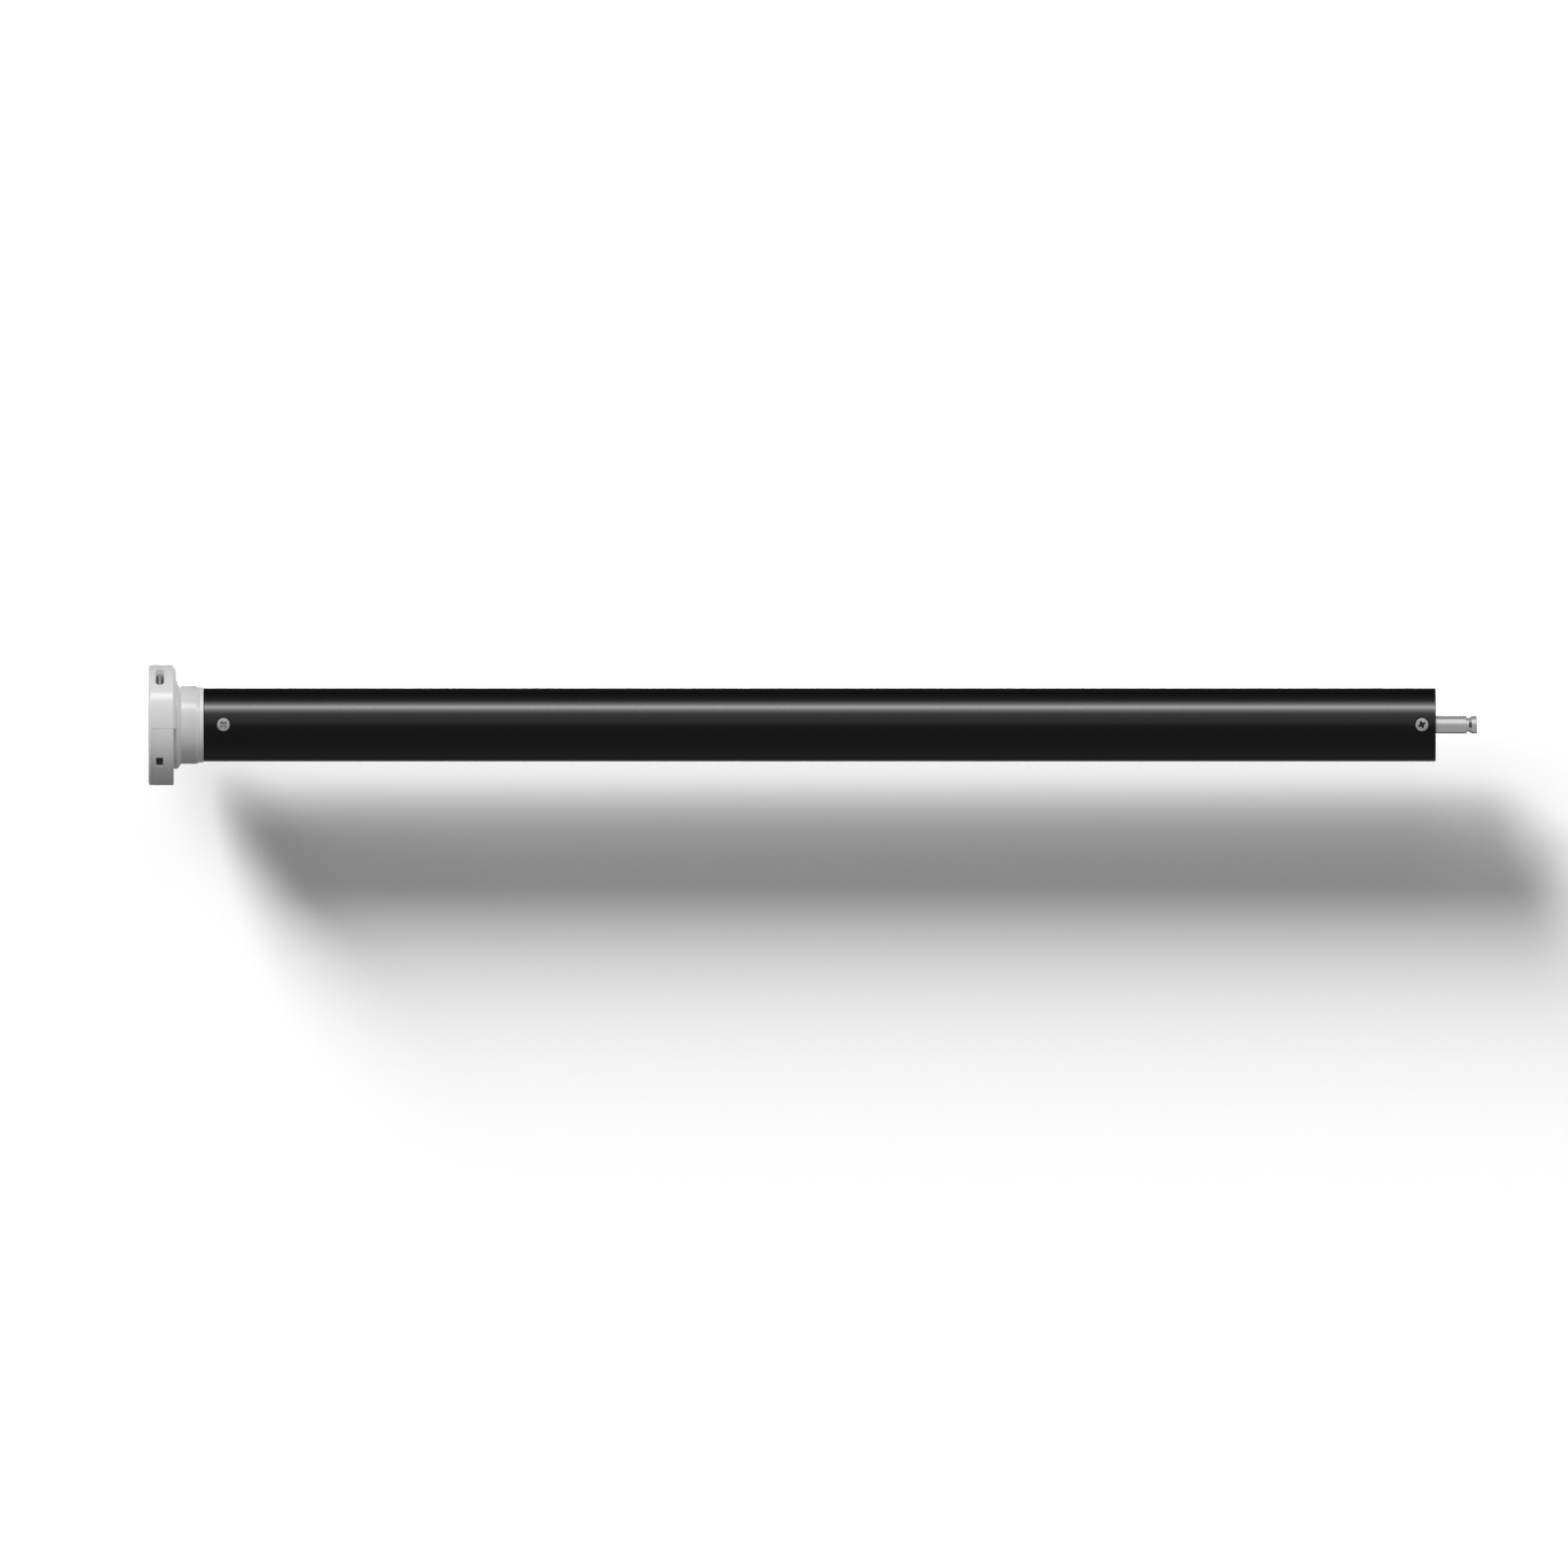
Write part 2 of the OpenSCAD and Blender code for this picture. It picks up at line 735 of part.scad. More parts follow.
module crown_ring() {
    x0 = ring_x + side_gap;
    x1 = washer_x - side_gap;
    bore_r = neck_r + run_gap;
    section = [[bore_r, x0], [ring_r - 0.2, x0], [ring_r, x0 + 0.2], [ring_r, x1 - 1.2],
        [ring_r - ring_chamfer, x1], [bore_r, x1]];
    color(light_grey) difference() {
        turned(section);
        // keyway for the blind tube's adapter, at the back
        translate([x0 - cut, ring_r - keyway_depth, -keyway_w / 2]) {
            cube([x1 - x0 + 2 * cut, ring_r, keyway_w]);
        }
    }
}

module thrust_washer() {
    c = 0.15;
    color("white") turned([[neck_r + seat_gap, washer_x], [washer_r - c, washer_x],
        [washer_r, washer_x + c], [washer_r, tube_x - c], [washer_r - c, tube_x],
        [neck_r + seat_gap, tube_x]]);
}

// Place on the cable's way in, at a distance from the axis and a distance past its plug
function cable_in(r, x) = [cable_x + x, r * cos(cable_angle), r * sin(cable_angle)];

module head_cable() {
    path = [cable_in(plug_face_r - 0.02, 0), cable_in(8.5, 0), cable_in(5.5, 0), cable_in(3.9, 0.3),
        cable_in(2.9, 1.1), cable_in(2.3, 2.4), cable_in(2, 4), [cable_x + 6, 0.9, -1.5],
        [cable_x + 9, 0.3, lead_z], [cable_x + 12, 0, lead_z], [control_x - 4, 0, lead_z],
        [control_x + board_plug_x - 0.02, 0, lead_z]];
    color(dark_plastic) swept(path, cable_r, [0, 1, 1]);
}

// Motor tube and its screws

module motor_tube() {
    c = 0.2;
    sink_gap = 0.35;
    sink_depth = screw_head_r - screw_r;
    color([0.04, 0.04, 0.04]) difference() {
        turned([[tube_in, tube_x], [tube_r - c, tube_x], [tube_r, tube_x + c], [tube_r, tube_end - c],
            [tube_r - c, tube_end], [tube_in, tube_end]]);
        for (x = [tube_x + neck_screw_inset, tube_end - block_screw_inset], a = screw_angles) radial(x, a) {
            // countersink with room round the head
            translate([0, 0, tube_in - cut]) cylinder(r = screw_r + 0.15, h = tube_wall + 2 * cut);
            translate([0, 0, tube_r - sink_depth]) {
                cylinder(r1 = screw_r + sink_gap, r2 = screw_head_r + cut + sink_gap, h = sink_depth + cut);
            }
        }
    }
}

module tube_screw(tip_r) {
    top = tube_r - 0.15;
    head_h = screw_head_r - screw_r;
    difference() {
        union() {
            translate([0, 0, tip_r]) cylinder(r = screw_r, h = top - tip_r - head_h / 2);
            translate([0, 0, top - head_h]) cylinder(r1 = screw_r, r2 = screw_head_r, h = head_h);
        }
        translate([0, 0, top]) cross_recess(0.6 * screw_head_r, 0.6 * head_h);
    }
}

module tube_screws() {
    color(steel) for (a = screw_angles) {
        radial(tube_x + neck_screw_inset, a) tube_screw(screw_tip_r);
        radial(tube_end - block_screw_inset, a) tube_screw(block_screw_tip_r);
    }
}

// Control board in its tray

module board_tray() {
    bulkhead = 1.2;
    color(dark_plastic) difference() {
        union() {
            along(tray_x) linear_extrude(tray_len) difference() {
                ring_2d(tray_r - tray_wall, tray_r);
                translate([-tube_r, tray_top]) square([2 * tube_r, 2 * tube_r]);
            }
            for (x = [tray_x, tray_end - bulkhead]) along(x) linear_extrude(bulkhead) difference() {
                circle(r = tray_r);
                translate([-tube_r, board_z]) square([2 * tube_r, 2 * tube_r]);
            }
        }
        translate([control_x - seat_gap, -board_w / 2 - seat_gap, board_z]) {
            cube([control_len + 2 * seat_gap, board_w + 2 * seat_gap, board_t + seat_gap]);
        }
    }
}

module control_board() {
    color(board_green) translate([control_x, -board_w / 2, board_z]) cube([control_len, board_w, board_t]);
}

module board_components() {
    can = [15, 12, 2.4];
    can_place = [1, -8.5, 0];
    chip = [5, 4, 1.4];
    chip_places = [[19, 3, 0], [26, 3, 0]];
    capacitor_r = 3.1;
    capacitor_h = 8;
    capacitor_places = [[21, -4.5, 0], [29.5, -4.5, 0]];
    translate([control_x + board_plug_x + connector_len, 0, board_top]) {
        color(steel) translate(can_place) cube(can);
        color(dark_plastic) for (place = chip_places) translate(place) cube(chip);
        color([0.2, 0.25, 0.45]) for (place = capacitor_places) translate(place) {
            cylinder(r = capacitor_r, h = capacitor_h);
        }
    }
}

// One connector on the head's board, one at the front of the control board, three at its back
module cable_connectors() {
    color("ivory") {
        at(board_x - head_plug[2], 0, cable_angle) {
            translate([plug_face_r, -head_plug[1] / 2, 0]) cube(head_plug);
        }
        translate([control_x + board_plug_x, -connector_w / 2, board_top]) {
            cube([connector_len, connector_w, connector_h]);
        }
        for (y = [battery_lead_y, motor_lead_y, sensor_lead_y]) {
            translate([lead_x - connector_len, y[0] - connector_side, board_top]) {
                cube([connector_len, y[len(y) - 1] - y[0] + 2 * connector_side, connector_h]);
            }
        }
    }
}

// Battery pack

module battery_cells() {
    can_len = cell_len - cell_cap_len;
    color([0.16, 0.38, 0.62]) for (i = [0:cells - 1]) along(pack_x + i * (cell_len + cell_gap)) {
        cylinder(r = cell_r, h = can_len);
        cylinder(r = cell_cap_r, h = cell_len);
    }
}

module battery_sleeve() {
    color([0.05, 0.20, 0.45]) tube_piece(pack_x, pack_end, sleeve_in, sleeve_out);
}

// Ring open at the top, where the leads pass
module open_ring(x, len, r_in, r_out) {
    along(x) linear_extrude(len) difference() {
        ring_2d(r_in, r_out);
        translate([-tube_r, lead_floor]) square([2 * tube_r, 2 * tube_r]);
    }
}

module pack_spacers() {
    color(dark_plastic) for (i = [0:cells]) {
        x = pack_x + (pack_end - pack_x - spacer_len) * i / cells;
        open_ring(x, spacer_len, sleeve_out + seat_gap, tube_in - slide_gap);
    }
}

module foam_pads() {
    color([0.25, 0.25, 0.27]) for (x = [pad_x, protection_end]) along(x) {
        linear_extrude(pad_len) difference() {
            circle(r = tube_in - slide_gap);
            translate([-tube_r, lead_floor]) square([2 * tube_r, 2 * tube_r]);
        }
    }
}

module protection_board() {
    color(board_green) rod(pack_end, protection_end, cell_r);
}

// Path of a lead: out of its connector, up past the tray, along above the pack, then down
function lead_start(y) = [[lead_x + 0.02, y, lead_z], [lead_x + 0.5, y, lead_z],
    [lead_x + 1.2, y, lead_z + 0.4], [lead_x + 1.9, y, lead_z + 1.4], [lead_x + 2.3, y, lead_z + 3.2],
    [lead_x + 2.3, y, lead_top(y) - 3.4], [lead_x + 2.8, y, lead_top(y) - 1.6],
    [lead_x + 3.8, y, lead_top(y) - 0.4], [lead_x + 5.4, y, lead_top(y)]];
function lead_down(x, y) = [[x - 4.6, y, lead_top(y)], [x - 3.1, y, lead_top(y) - 0.4],
    [x - 1.9, y, lead_top(y) - 1.5], [x - 1.2, y, lead_top(y) - 2.6], [x - 0.6, y, lead_top(y) - 3],
    [x - 0.02, y, lead_top(y) - 3]];
function lead_back(x, y) = [[x - 1, y, lead_top(y)], [x + 0.6, y, lead_top(y) - 0.1],
    [x + 1.6, y, lead_top(y) - 0.8], [x + 1.9, y, lead_top(y) - 1.6], [x + 1.4, y, lead_top(y) - 2.5],
    [x + 0.6, y, lead_top(y) - 2.8], [x + 0.02, y, lead_top(y) - 2.8]];

module battery_leads() {
    color("firebrick") for (y = battery_lead_y) {
        swept(concat(lead_start(y), lead_back(protection_end, y)), power_wire_r, [0, 1, 0]);
    }
}

module motor_leads() {
    color("black") for (y = motor_lead_y) {
        swept(concat(lead_start(y), lead_down(sensor_x, y)), power_wire_r, [0, 1, 0]);
    }
    color("gold") for (y = sensor_lead_y) {
        swept(concat(lead_start(y), lead_down(sensor_x, y)), sensor_wire_r, [0, 1, 0]);
    }
}

// Motor

module sensor_board() {
    color(board_green) rod(sensor_x, sensor_x + board_t, cell_r);
    color(dark_plastic) for (side = [-1, 1]) {
        translate([sensor_x + board_t / 2, side * 2.5 - 1.5, -2]) cube([board_t / 2 + sensor_chip_t, 3, 4]);
    }
}

module motor_can() {
    color(steel) difference() {
        rod(motor_x + bell_lip, motor_end, motor_r);
        difference() {
            rod(motor_x, motor_end - can_front, can_in);
            rod(motor_end - bush_len - 0.5, motor_end, bush_boss_r);
        }
        rod(motor_end - bush_len - 0.5 - cut, motor_end + cut, bush_r + seat_gap);
        for (a = motor_screw_angles) {
            at(motor_end - can_front - cut, motor_screw_pcr, a) {
                cylinder(r = motor_screw_r + seat_gap, h = can_front + 2 * cut);
            }
        }
    }
}

module rubber_rings() {
    ring_w = 4;
    color("black") for (x = [motor_x + 5, motor_end - ring_w - 5]) {
        tube_piece(x, x + ring_w, motor_r + seat_gap, tube_in - seat_gap);
    }
}

module field_magnets() {
    color([0.3, 0.3, 0.32]) for (a = [90, 270]) along(core_x - 3) linear_extrude(core_end - core_x + 6) {
        intersection() {
            ring_2d(magnet_r, can_in - seat_gap);
            slice_2d(a - 62, a + 62, motor_r);
        }
    }
}

// Plastic end of the motor with its brush holders, and pegs for the sensor board
module end_bell() {
    color("ivory") difference() {
        union() {
            rod(motor_x, motor_x + bell_lip, motor_r);
            rod(motor_x, bell_x, can_in - seat_gap);
            for (side = [0, 180]) at(bell_x - 0.5, 0, side) {
                translate([holder_in, -holder_w / 2, 0]) {
                    cube([holder_out - holder_in, holder_w, holder_len + 0.5]);
                }
            }
            for (a = peg_angles) {
                at(sensor_x + board_t, peg_pcr, a) cylinder(r = peg_r, h = motor_x - sensor_x);
            }
        }
        for (side = [0, 180]) at(brush_x - seat_gap, 0, side) {
            translate([holder_in - cut, -brush_w / 2 - seat_gap, 0]) {
                cube([holder_out - holder_in + 2 * cut, brush_w + 2 * seat_gap, brush_len + 2 * seat_gap]);
            }
        }
        rod(motor_x + bush_inset, bell_x + cut, bush_r + seat_gap);
        rod(motor_x - cut, bell_x + cut, shaft_r + 0.4);
    }
}

module brushes() {
    inner = commutator_r + run_gap;
    color([0.15, 0.15, 0.16]) for (side = [0, 180]) at(brush_x, 0, side) {
        translate([inner, -brush_w / 2, 0]) cube([brush_out - inner, brush_w, brush_len]);
    }
}

module motor_bushes() {
    color(brass) {
        tube_piece(motor_x + bush_inset, motor_x + bush_inset + bush_len, shaft_r + run_gap, bush_r);
        tube_piece(motor_end - bush_len, motor_end, shaft_r + run_gap, bush_r);
    }
}

module rotor_shaft() {
    color(steel) rod(encoder_x, disc_x(0) - 0.2, shaft_r);
}

module rotor_core() {
    color([0.5, 0.5, 0.52]) along(core_x) linear_extrude(core_end - core_x) difference() {
        union() {
            circle(r = core_hub_r);
            for (k = [0:poles - 1]) rotate(360 * k / poles) {
                translate([0, -tooth_w / 2]) square([rotor_r - pole_t / 2, tooth_w]);
                intersection() {
                    ring_2d(rotor_r - pole_t, rotor_r);
                    slice_2d(-pole_half_angle, pole_half_angle, rotor_r);
                }
            }
        }
        circle(r = shaft_r + seat_gap);
    }
}

// One coil round each tooth of the core
module rotor_windings() {
    len = core_end - core_x;
    hole_w = tooth_w + 0.1;
    color(copper) for (k = [0:poles - 1]) at(core_x, 0, 360 * k / poles) difference() {
        translate([coil_in, -coil_w / 2, -coil_reach]) cube([coil_h, coil_w, len + 2 * coil_reach]);
        translate([coil_in - cut, -hole_w / 2, -0.05]) cube([coil_h + 2 * cut, hole_w, len + 0.1]);
    }
}

module commutator() {
    color(copper) difference() {
        tube_piece(commutator_x, commutator_x + commutator_len, shaft_r + seat_gap, commutator_r);
        for (k = [0:poles - 1]) at(commutator_x - cut, 0, 360 * (k + 0.5) / poles) {
            translate([commutator_r - bar_t, -bar_gap / 2, 0]) {
                cube([cut, bar_gap, commutator_len + 2 * cut]);
            }
        }
    }
}

module encoder_magnet() {
    color([0.35, 0.35, 0.38]) tube_piece(encoder_x, encoder_x + encoder_len, shaft_r + seat_gap, encoder_r);
}

// Brake: a spring on the rotor's hub that grips its drum

// Blocks that key the gearbox to its neighbours, grown for the slots that take them
module dogs(x0, x1, grow) {
    intersection() {
        tube_piece(x0, x1, ring_root_r + 0.2 - grow, grow > 0 ? tube_r : tube_in - slide_gap);
        for (a = dog_angles) at(x0, 0, a) {
            translate([0, -dog_w / 2 - grow, 0]) cube([tube_r, dog_w + 2 * grow, x1 - x0]);
        }
    }
}

module brake_housing() {
    color(steel) difference() {
        union() {
            rod(motor_end, brake_end, tube_in - slide_gap);
            dogs(brake_end - 0.5, brake_end + dog_len, 0);
        }
        rod(motor_end - cut, brake_end - brake_front, drum_r);
        rod(motor_end, brake_end + cut, shaft_r + 0.4);
        for (a = motor_screw_angles) {
            at(motor_end - cut, motor_screw_pcr, a) {
                cylinder(r = motor_screw_r + 0.1, h = brake_len + 2 * cut);
            }
            at(motor_screw_x, motor_screw_pcr, a) {
                cylinder(r = motor_screw_head_r + 0.2, h = motor_screw_head_t + cut);
            }
        }
    }
}

module brake_hub() {
    color(steel) difference() {
        union() {
            rod(hub_x, hub_end, brake_hub_r);
            rod(hub_x, hub_x + hub_flange_t, spring_r + spring_wire_r);
        }
        rod(hub_x - cut, hub_end + cut, shaft_r + seat_gap);
    }
}

module brake_spring() {
    turns = (hub_end - hub_x - hub_flange_t - 2 * spring_wire_r - 0.4) / spring_pitch;
    count = floor(turns * spring_steps) + 1;
    x0 = hub_x + hub_flange_t + spring_wire_r + 0.2;
    rings = [for (i = [0:count - 1], k = [0:spring_sides - 1])
        let (turn = 360 * i / spring_steps, a = -360 * k / spring_sides)
        let (r = spring_r + spring_wire_r * cos(a))
        [r * cos(turn), r * sin(turn), spring_pitch * i / spring_steps + spring_wire_r * sin(a)]];
    color(steel) along(x0) tube_of_rings(rings, count, spring_sides);
}

module motor_screws() {
    len = brake_len - motor_screw_head_t + can_front + 0.4;
    color(steel) for (a = motor_screw_angles) at(motor_screw_x, motor_screw_pcr, a) {
        pan_screw(motor_screw_r, len, motor_screw_head_r, motor_screw_head_t);
    }
}

// Planetary gearbox

module sun_gear() {
    color(brass) along(gear_x + 0.3) linear_extrude(disc_x(0) - gear_x - 0.5) difference() {
        gear_2d(sun_teeth);
        circle(r = shaft_r + seat_gap);
    }
}

// Planet gear of a stage, with one tooth pointing away from the axis
module planet(s, i) {
    color("ivory") at(planet_x(s), centre_r, planet_angles[i]) linear_extrude(face[s]) difference() {
        gear_2d(planet_teeth);
        circle(r = pin_r + run_gap);
    }
}

module carrier_disc(s) {
    rod(disc_x(s), disc_end(s), carrier_r);
    for (a = planet_angles) {
        at(planet_x(s) - 0.2, centre_r, a) cylinder(r = pin_r, h = disc_x(s) - planet_x(s) + 0.7);
    }
}

module carrier(s) {
    color(steel) {
        carrier_disc(s);
        along(disc_end(s) - 0.5) linear_extrude(disc_x(s + 1) - disc_end(s) + 0.3) gear_2d(sun_teeth);
    }
}

module ring_gear() {
    space_points = gear_points(ring_teeth, ring_tip_r, ring_root_r, -flank_play);
    color([0.3, 0.3, 0.32]) difference() {
        along(gear_x) linear_extrude(gear_end - gear_x) difference() {
            circle(r = tube_in - slide_gap);
            polygon(space_points);
        }
        dogs(gear_x - cut, gear_x + dog_len + 0.1, 0.1);
        dogs(gear_end - dog_len - 0.1, gear_end + cut, 0.1);
    }
}

// Output end

module output_shaft() {
    c = 0.3;
    section = [[0, disc_end(2) - 0.5], [journal_r, disc_end(2) - 0.5], [journal_r, clip_x - 0.05],
        [clip_groove_r, clip_x - 0.05], [clip_groove_r, clip_x + clip_t + 0.05],
        [journal_r, clip_x + clip_t + 0.05], [journal_r, journal_end - c], [journal_r - c, journal_end],
        [drive_r, journal_end], [drive_r, groove_x], [groove_r, groove_x + 0.15],
        [groove_r, groove_x + 0.4 * groove_len], [drive_r, groove_x + groove_len],
        [drive_r, drive_end - c], [drive_r - c, drive_end], [0, drive_end]];
    color(steel) difference() {
        union() {
            carrier_disc(2);
            turned(section);
        }
        // flat for the drive adapter's screw, at the back
        translate([flat_x, drive_r - flat_depth, -drive_r]) {
            cube([flat_len, drive_r, 2 * drive_r]);
        }
    }
}

module end_block() {
    c = 0.4;
    bush_seat_r = output_bush_r + seat_gap;
    section = [[bush_seat_r, gear_end], [plug_r, gear_end], [plug_r, block_end - c],
        [plug_r - c, block_end], [pocket_r, block_end], [pocket_r, pocket_x], [bush_seat_r, pocket_x],
        [bush_seat_r, pocket_x - output_bush_len], [journal_r + 0.4, pocket_x - output_bush_len],
        [journal_r + 0.4, gear_end + output_bush_len], [bush_seat_r, gear_end + output_bush_len]];
    color(dark_plastic) difference() {
        union() {
            turned(section);
            dogs(gear_end - dog_len, gear_end + 0.5, 0);
        }
        for (a = screw_angles) {
            radial(tube_end - block_screw_inset, a) translate([0, 0, block_screw_tip_r - 0.1]) {
                cylinder(r = screw_r + seat_gap, h = plug_r);
            }
        }
    }
}

module output_bushes() {
    color(brass) for (x = [gear_end, pocket_x - output_bush_len]) {
        tube_piece(x, x + output_bush_len, journal_r + run_gap, output_bush_r);
    }
}

// Retaining clip: an open ring with three prongs in the shaft's groove
module output_clip() {
    prong_w = 2.4;
    mouth_w = 6;
    color(steel) along(clip_x) linear_extrude(clip_t) difference() {
        union() {
            ring_2d(clip_r - 1.3, clip_r);
            for (a = [10, 90, 170]) rotate(a) translate([0, -prong_w / 2]) square([clip_r - 0.7, prong_w]);
        }
        circle(r = clip_groove_r + seat_gap);
        translate([-mouth_w / 2, -clip_r - cut]) square([mouth_w, clip_r]);
    }
}

head_body();
head_cover();
cover_screws();
bracket_inserts();
port_shell();
port_tongue();
head_board();
button_switch();
program_button();
neck();
neck_screws();
crown_ring();
thrust_washer();
head_cable();
motor_tube();
tube_screws();
board_tray();
control_board();
board_components();
cable_connectors();
battery_cells();
battery_sleeve();
pack_spacers();
foam_pads();
protection_board();
battery_leads();
motor_leads();
sensor_board();
motor_can();
rubber_rings();
field_magnets();
end_bell();
brushes();
motor_bushes();
rotor_shaft();
rotor_core();
rotor_windings();
commutator();
encoder_magnet();
brake_housing();
brake_hub();
brake_spring();
motor_screws();
sun_gear();
planet(0, 0);  // planet_1a
planet(0, 1);  // planet_1b
planet(0, 2);  // planet_1c
carrier(0);  // carrier_1
planet(1, 0);  // planet_2a
planet(1, 1);  // planet_2b
planet(1, 2);  // planet_2c
carrier(1);  // carrier_2
planet(2, 0);  // planet_3a
planet(2, 1);  // planet_3b
planet(2, 2);  // planet_3c
output_shaft();
ring_gear();
end_block();
output_bushes();
output_clip();
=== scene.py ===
import math

import bmesh
import bpy
import mathutils
import numpy as np
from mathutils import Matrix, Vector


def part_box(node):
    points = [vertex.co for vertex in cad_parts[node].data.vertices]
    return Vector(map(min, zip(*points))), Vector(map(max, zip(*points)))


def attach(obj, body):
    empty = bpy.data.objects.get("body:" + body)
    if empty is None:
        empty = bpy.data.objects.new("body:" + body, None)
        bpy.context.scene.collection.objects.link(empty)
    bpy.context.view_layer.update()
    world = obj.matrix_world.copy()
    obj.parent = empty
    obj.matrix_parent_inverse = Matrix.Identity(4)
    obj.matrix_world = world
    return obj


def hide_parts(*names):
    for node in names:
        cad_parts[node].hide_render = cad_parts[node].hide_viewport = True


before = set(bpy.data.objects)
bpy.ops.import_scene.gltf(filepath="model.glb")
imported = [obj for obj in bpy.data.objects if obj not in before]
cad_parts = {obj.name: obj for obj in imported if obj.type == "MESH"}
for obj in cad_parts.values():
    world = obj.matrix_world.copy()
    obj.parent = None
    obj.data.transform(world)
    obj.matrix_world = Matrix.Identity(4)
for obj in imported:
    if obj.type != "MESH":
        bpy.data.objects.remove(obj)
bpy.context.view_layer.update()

# Rotor
# The steel shaft runs from the encoder magnet to the first sun gear. It carries a stack of
# laminations with five coils of enamelled wire, the commutator, the brake's hub and its spring.


class Shade:
    """A number, colour or place that varies over a surface. Arithmetic on it adds Math nodes."""

    def __init__(self, tree, socket=None):
        self.tree = tree
        self.socket = socket

    def node(self, kind, settings=None, inputs=None, output=0):
        """Adds a node: its settings first, then a value or a link for each input. Gives one output."""
        made = self.tree.nodes.new("ShaderNode" + kind)
        for name, value in (settings or {}).items():
            if name == "stops":
                made.color_ramp.elements.remove(made.color_ramp.elements[1])
                made.color_ramp.elements[0].position, made.color_ramp.elements[0].color = value[0]
                for place, colour in value[1:]:
                    made.color_ramp.elements.new(place).color = colour
            else:
                setattr(made, name, value)
        for name, value in (inputs or {}).items():
            if isinstance(value, Shade):
                self.tree.links.new(value.socket, made.inputs[name])
            else:
                made.inputs[name].default_value = value
        return Shade(self.tree, made.outputs[output])

    def math(self, operation, first, second=0.0):
        """One Math node's operation on one or two numbers."""
        return self.node("Math", {"operation": operation}, {0: first, 1: second})

    def __add__(self, other):
        return self.math("ADD", self, other)

    def __radd__(self, other):
        return self.math("ADD", other, self)

    def __sub__(self, other):
        return self.math("SUBTRACT", self, other)

    def __rsub__(self, other):
        return self.math("SUBTRACT", other, self)

    def __mul__(self, other):
        return self.math("MULTIPLY", self, other)

    def __rmul__(self, other):
        return self.math("MULTIPLY", other, self)

    def clamp(self):
        """This number, held between 0 and 1."""
        return self.node("Clamp", None, {"Value": self})

    def noise(self, scale, stretch=(1, 1, 1), detail=2.0):
        """Noise from 0 to 1 at this place, its grain finer by each axis' stretch."""
        place = self.node("VectorMath", {"operation": "MULTIPLY"}, {0: self, 1: stretch})
        return self.node("TexNoise", None, {"Vector": place, "Scale": scale, "Detail": detail})

    def mix(self, low, high):
        """Colour from low to high as this number goes from 0 to 1."""
        return self.node("Mix", {"data_type": "RGBA"}, {"Factor": self, 6: low, 7: high}, output=2)


def grey(value, warm=0.0):
    """A neutral colour, a little redder and less blue where warm is above 0."""
    return (value * (1 + warm), value, value * (1 - warm), 1.0)


def finish(name, colour, rough, height, depth, **constants):
    """A material of one Principled shader. colour and rough are functions of the place on the
    object, or plain values, and height is a function whose bumps are depth metres high."""
    material = bpy.data.materials.new(name)
    material.use_nodes = True
    tree = material.node_tree
    shader = tree.nodes["Principled BSDF"]
    place = Shade(tree).node("TexCoord", output="Object")
    for socket, value in (("Base Color", colour), ("Roughness", rough)):
        if callable(value):
            tree.links.new(value(place).socket, shader.inputs[socket])
        else:
            shader.inputs[socket].default_value = value
    bump = place.node("Bump", None, {"Height": height(place), "Distance": depth, "Strength": 1.0})
    tree.links.new(bump.socket, shader.inputs["Normal"])
    for socket, value in constants.items():
        shader.inputs[socket.replace("_", " ")].default_value = value
    return material


def dress(material, *nodes):
    """Gives CAD nodes their material, whose shapes stay as they are."""
    for node in nodes:
        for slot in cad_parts[node].material_slots:
            slot.material = material


def turning_marks(place, scale=9000):
    """Fine rings left by a lathe: noise that is drawn out round the axis."""
    return place.noise(scale, (1, 0.03, 0.03), 3)


machined_steel = finish(
    "machined_steel",
    lambda place: turning_marks(place).mix(grey(0.46), grey(0.56)),
    lambda place: 0.22 + 0.2 * turning_marks(place, 5000),
    turning_marks, 4e-6, Metallic=1.0)
laminations = finish(
    "laminations",
    lambda place: place.noise(4000, (1, 0.02, 0.02)).mix(grey(0.2, 0.04), grey(0.42, 0.04)),
    lambda place: 0.4 + 0.2 * place.noise(900),
    lambda place: place.noise(4000, (1, 0.02, 0.02)), 3e-5, Metallic=1.0)
copper_wire = finish(
    "copper_wire",
    lambda place: place.noise(3500, (1, 0.1, 0.1)).mix((0.5, 0.17, 0.06, 1), (0.8, 0.36, 0.16, 1)),
    0.3,
    lambda place: place.noise(5000, (0.05, 1, 1)), 5e-5, Metallic=1.0, Coat_Weight=0.4)
ferrite = finish(
    "ferrite",
    lambda place: place.noise(2500).mix(grey(0.06), grey(0.12)),
    lambda place: 0.5 + 0.2 * place.noise(800),
    lambda place: place.noise(6000), 8e-6)
dress(machined_steel, "rotor_shaft", "brake_hub", "brake_spring")
dress(laminations, "rotor_core")
dress(copper_wire, "rotor_windings", "commutator")
dress(ferrite, "encoder_magnet")

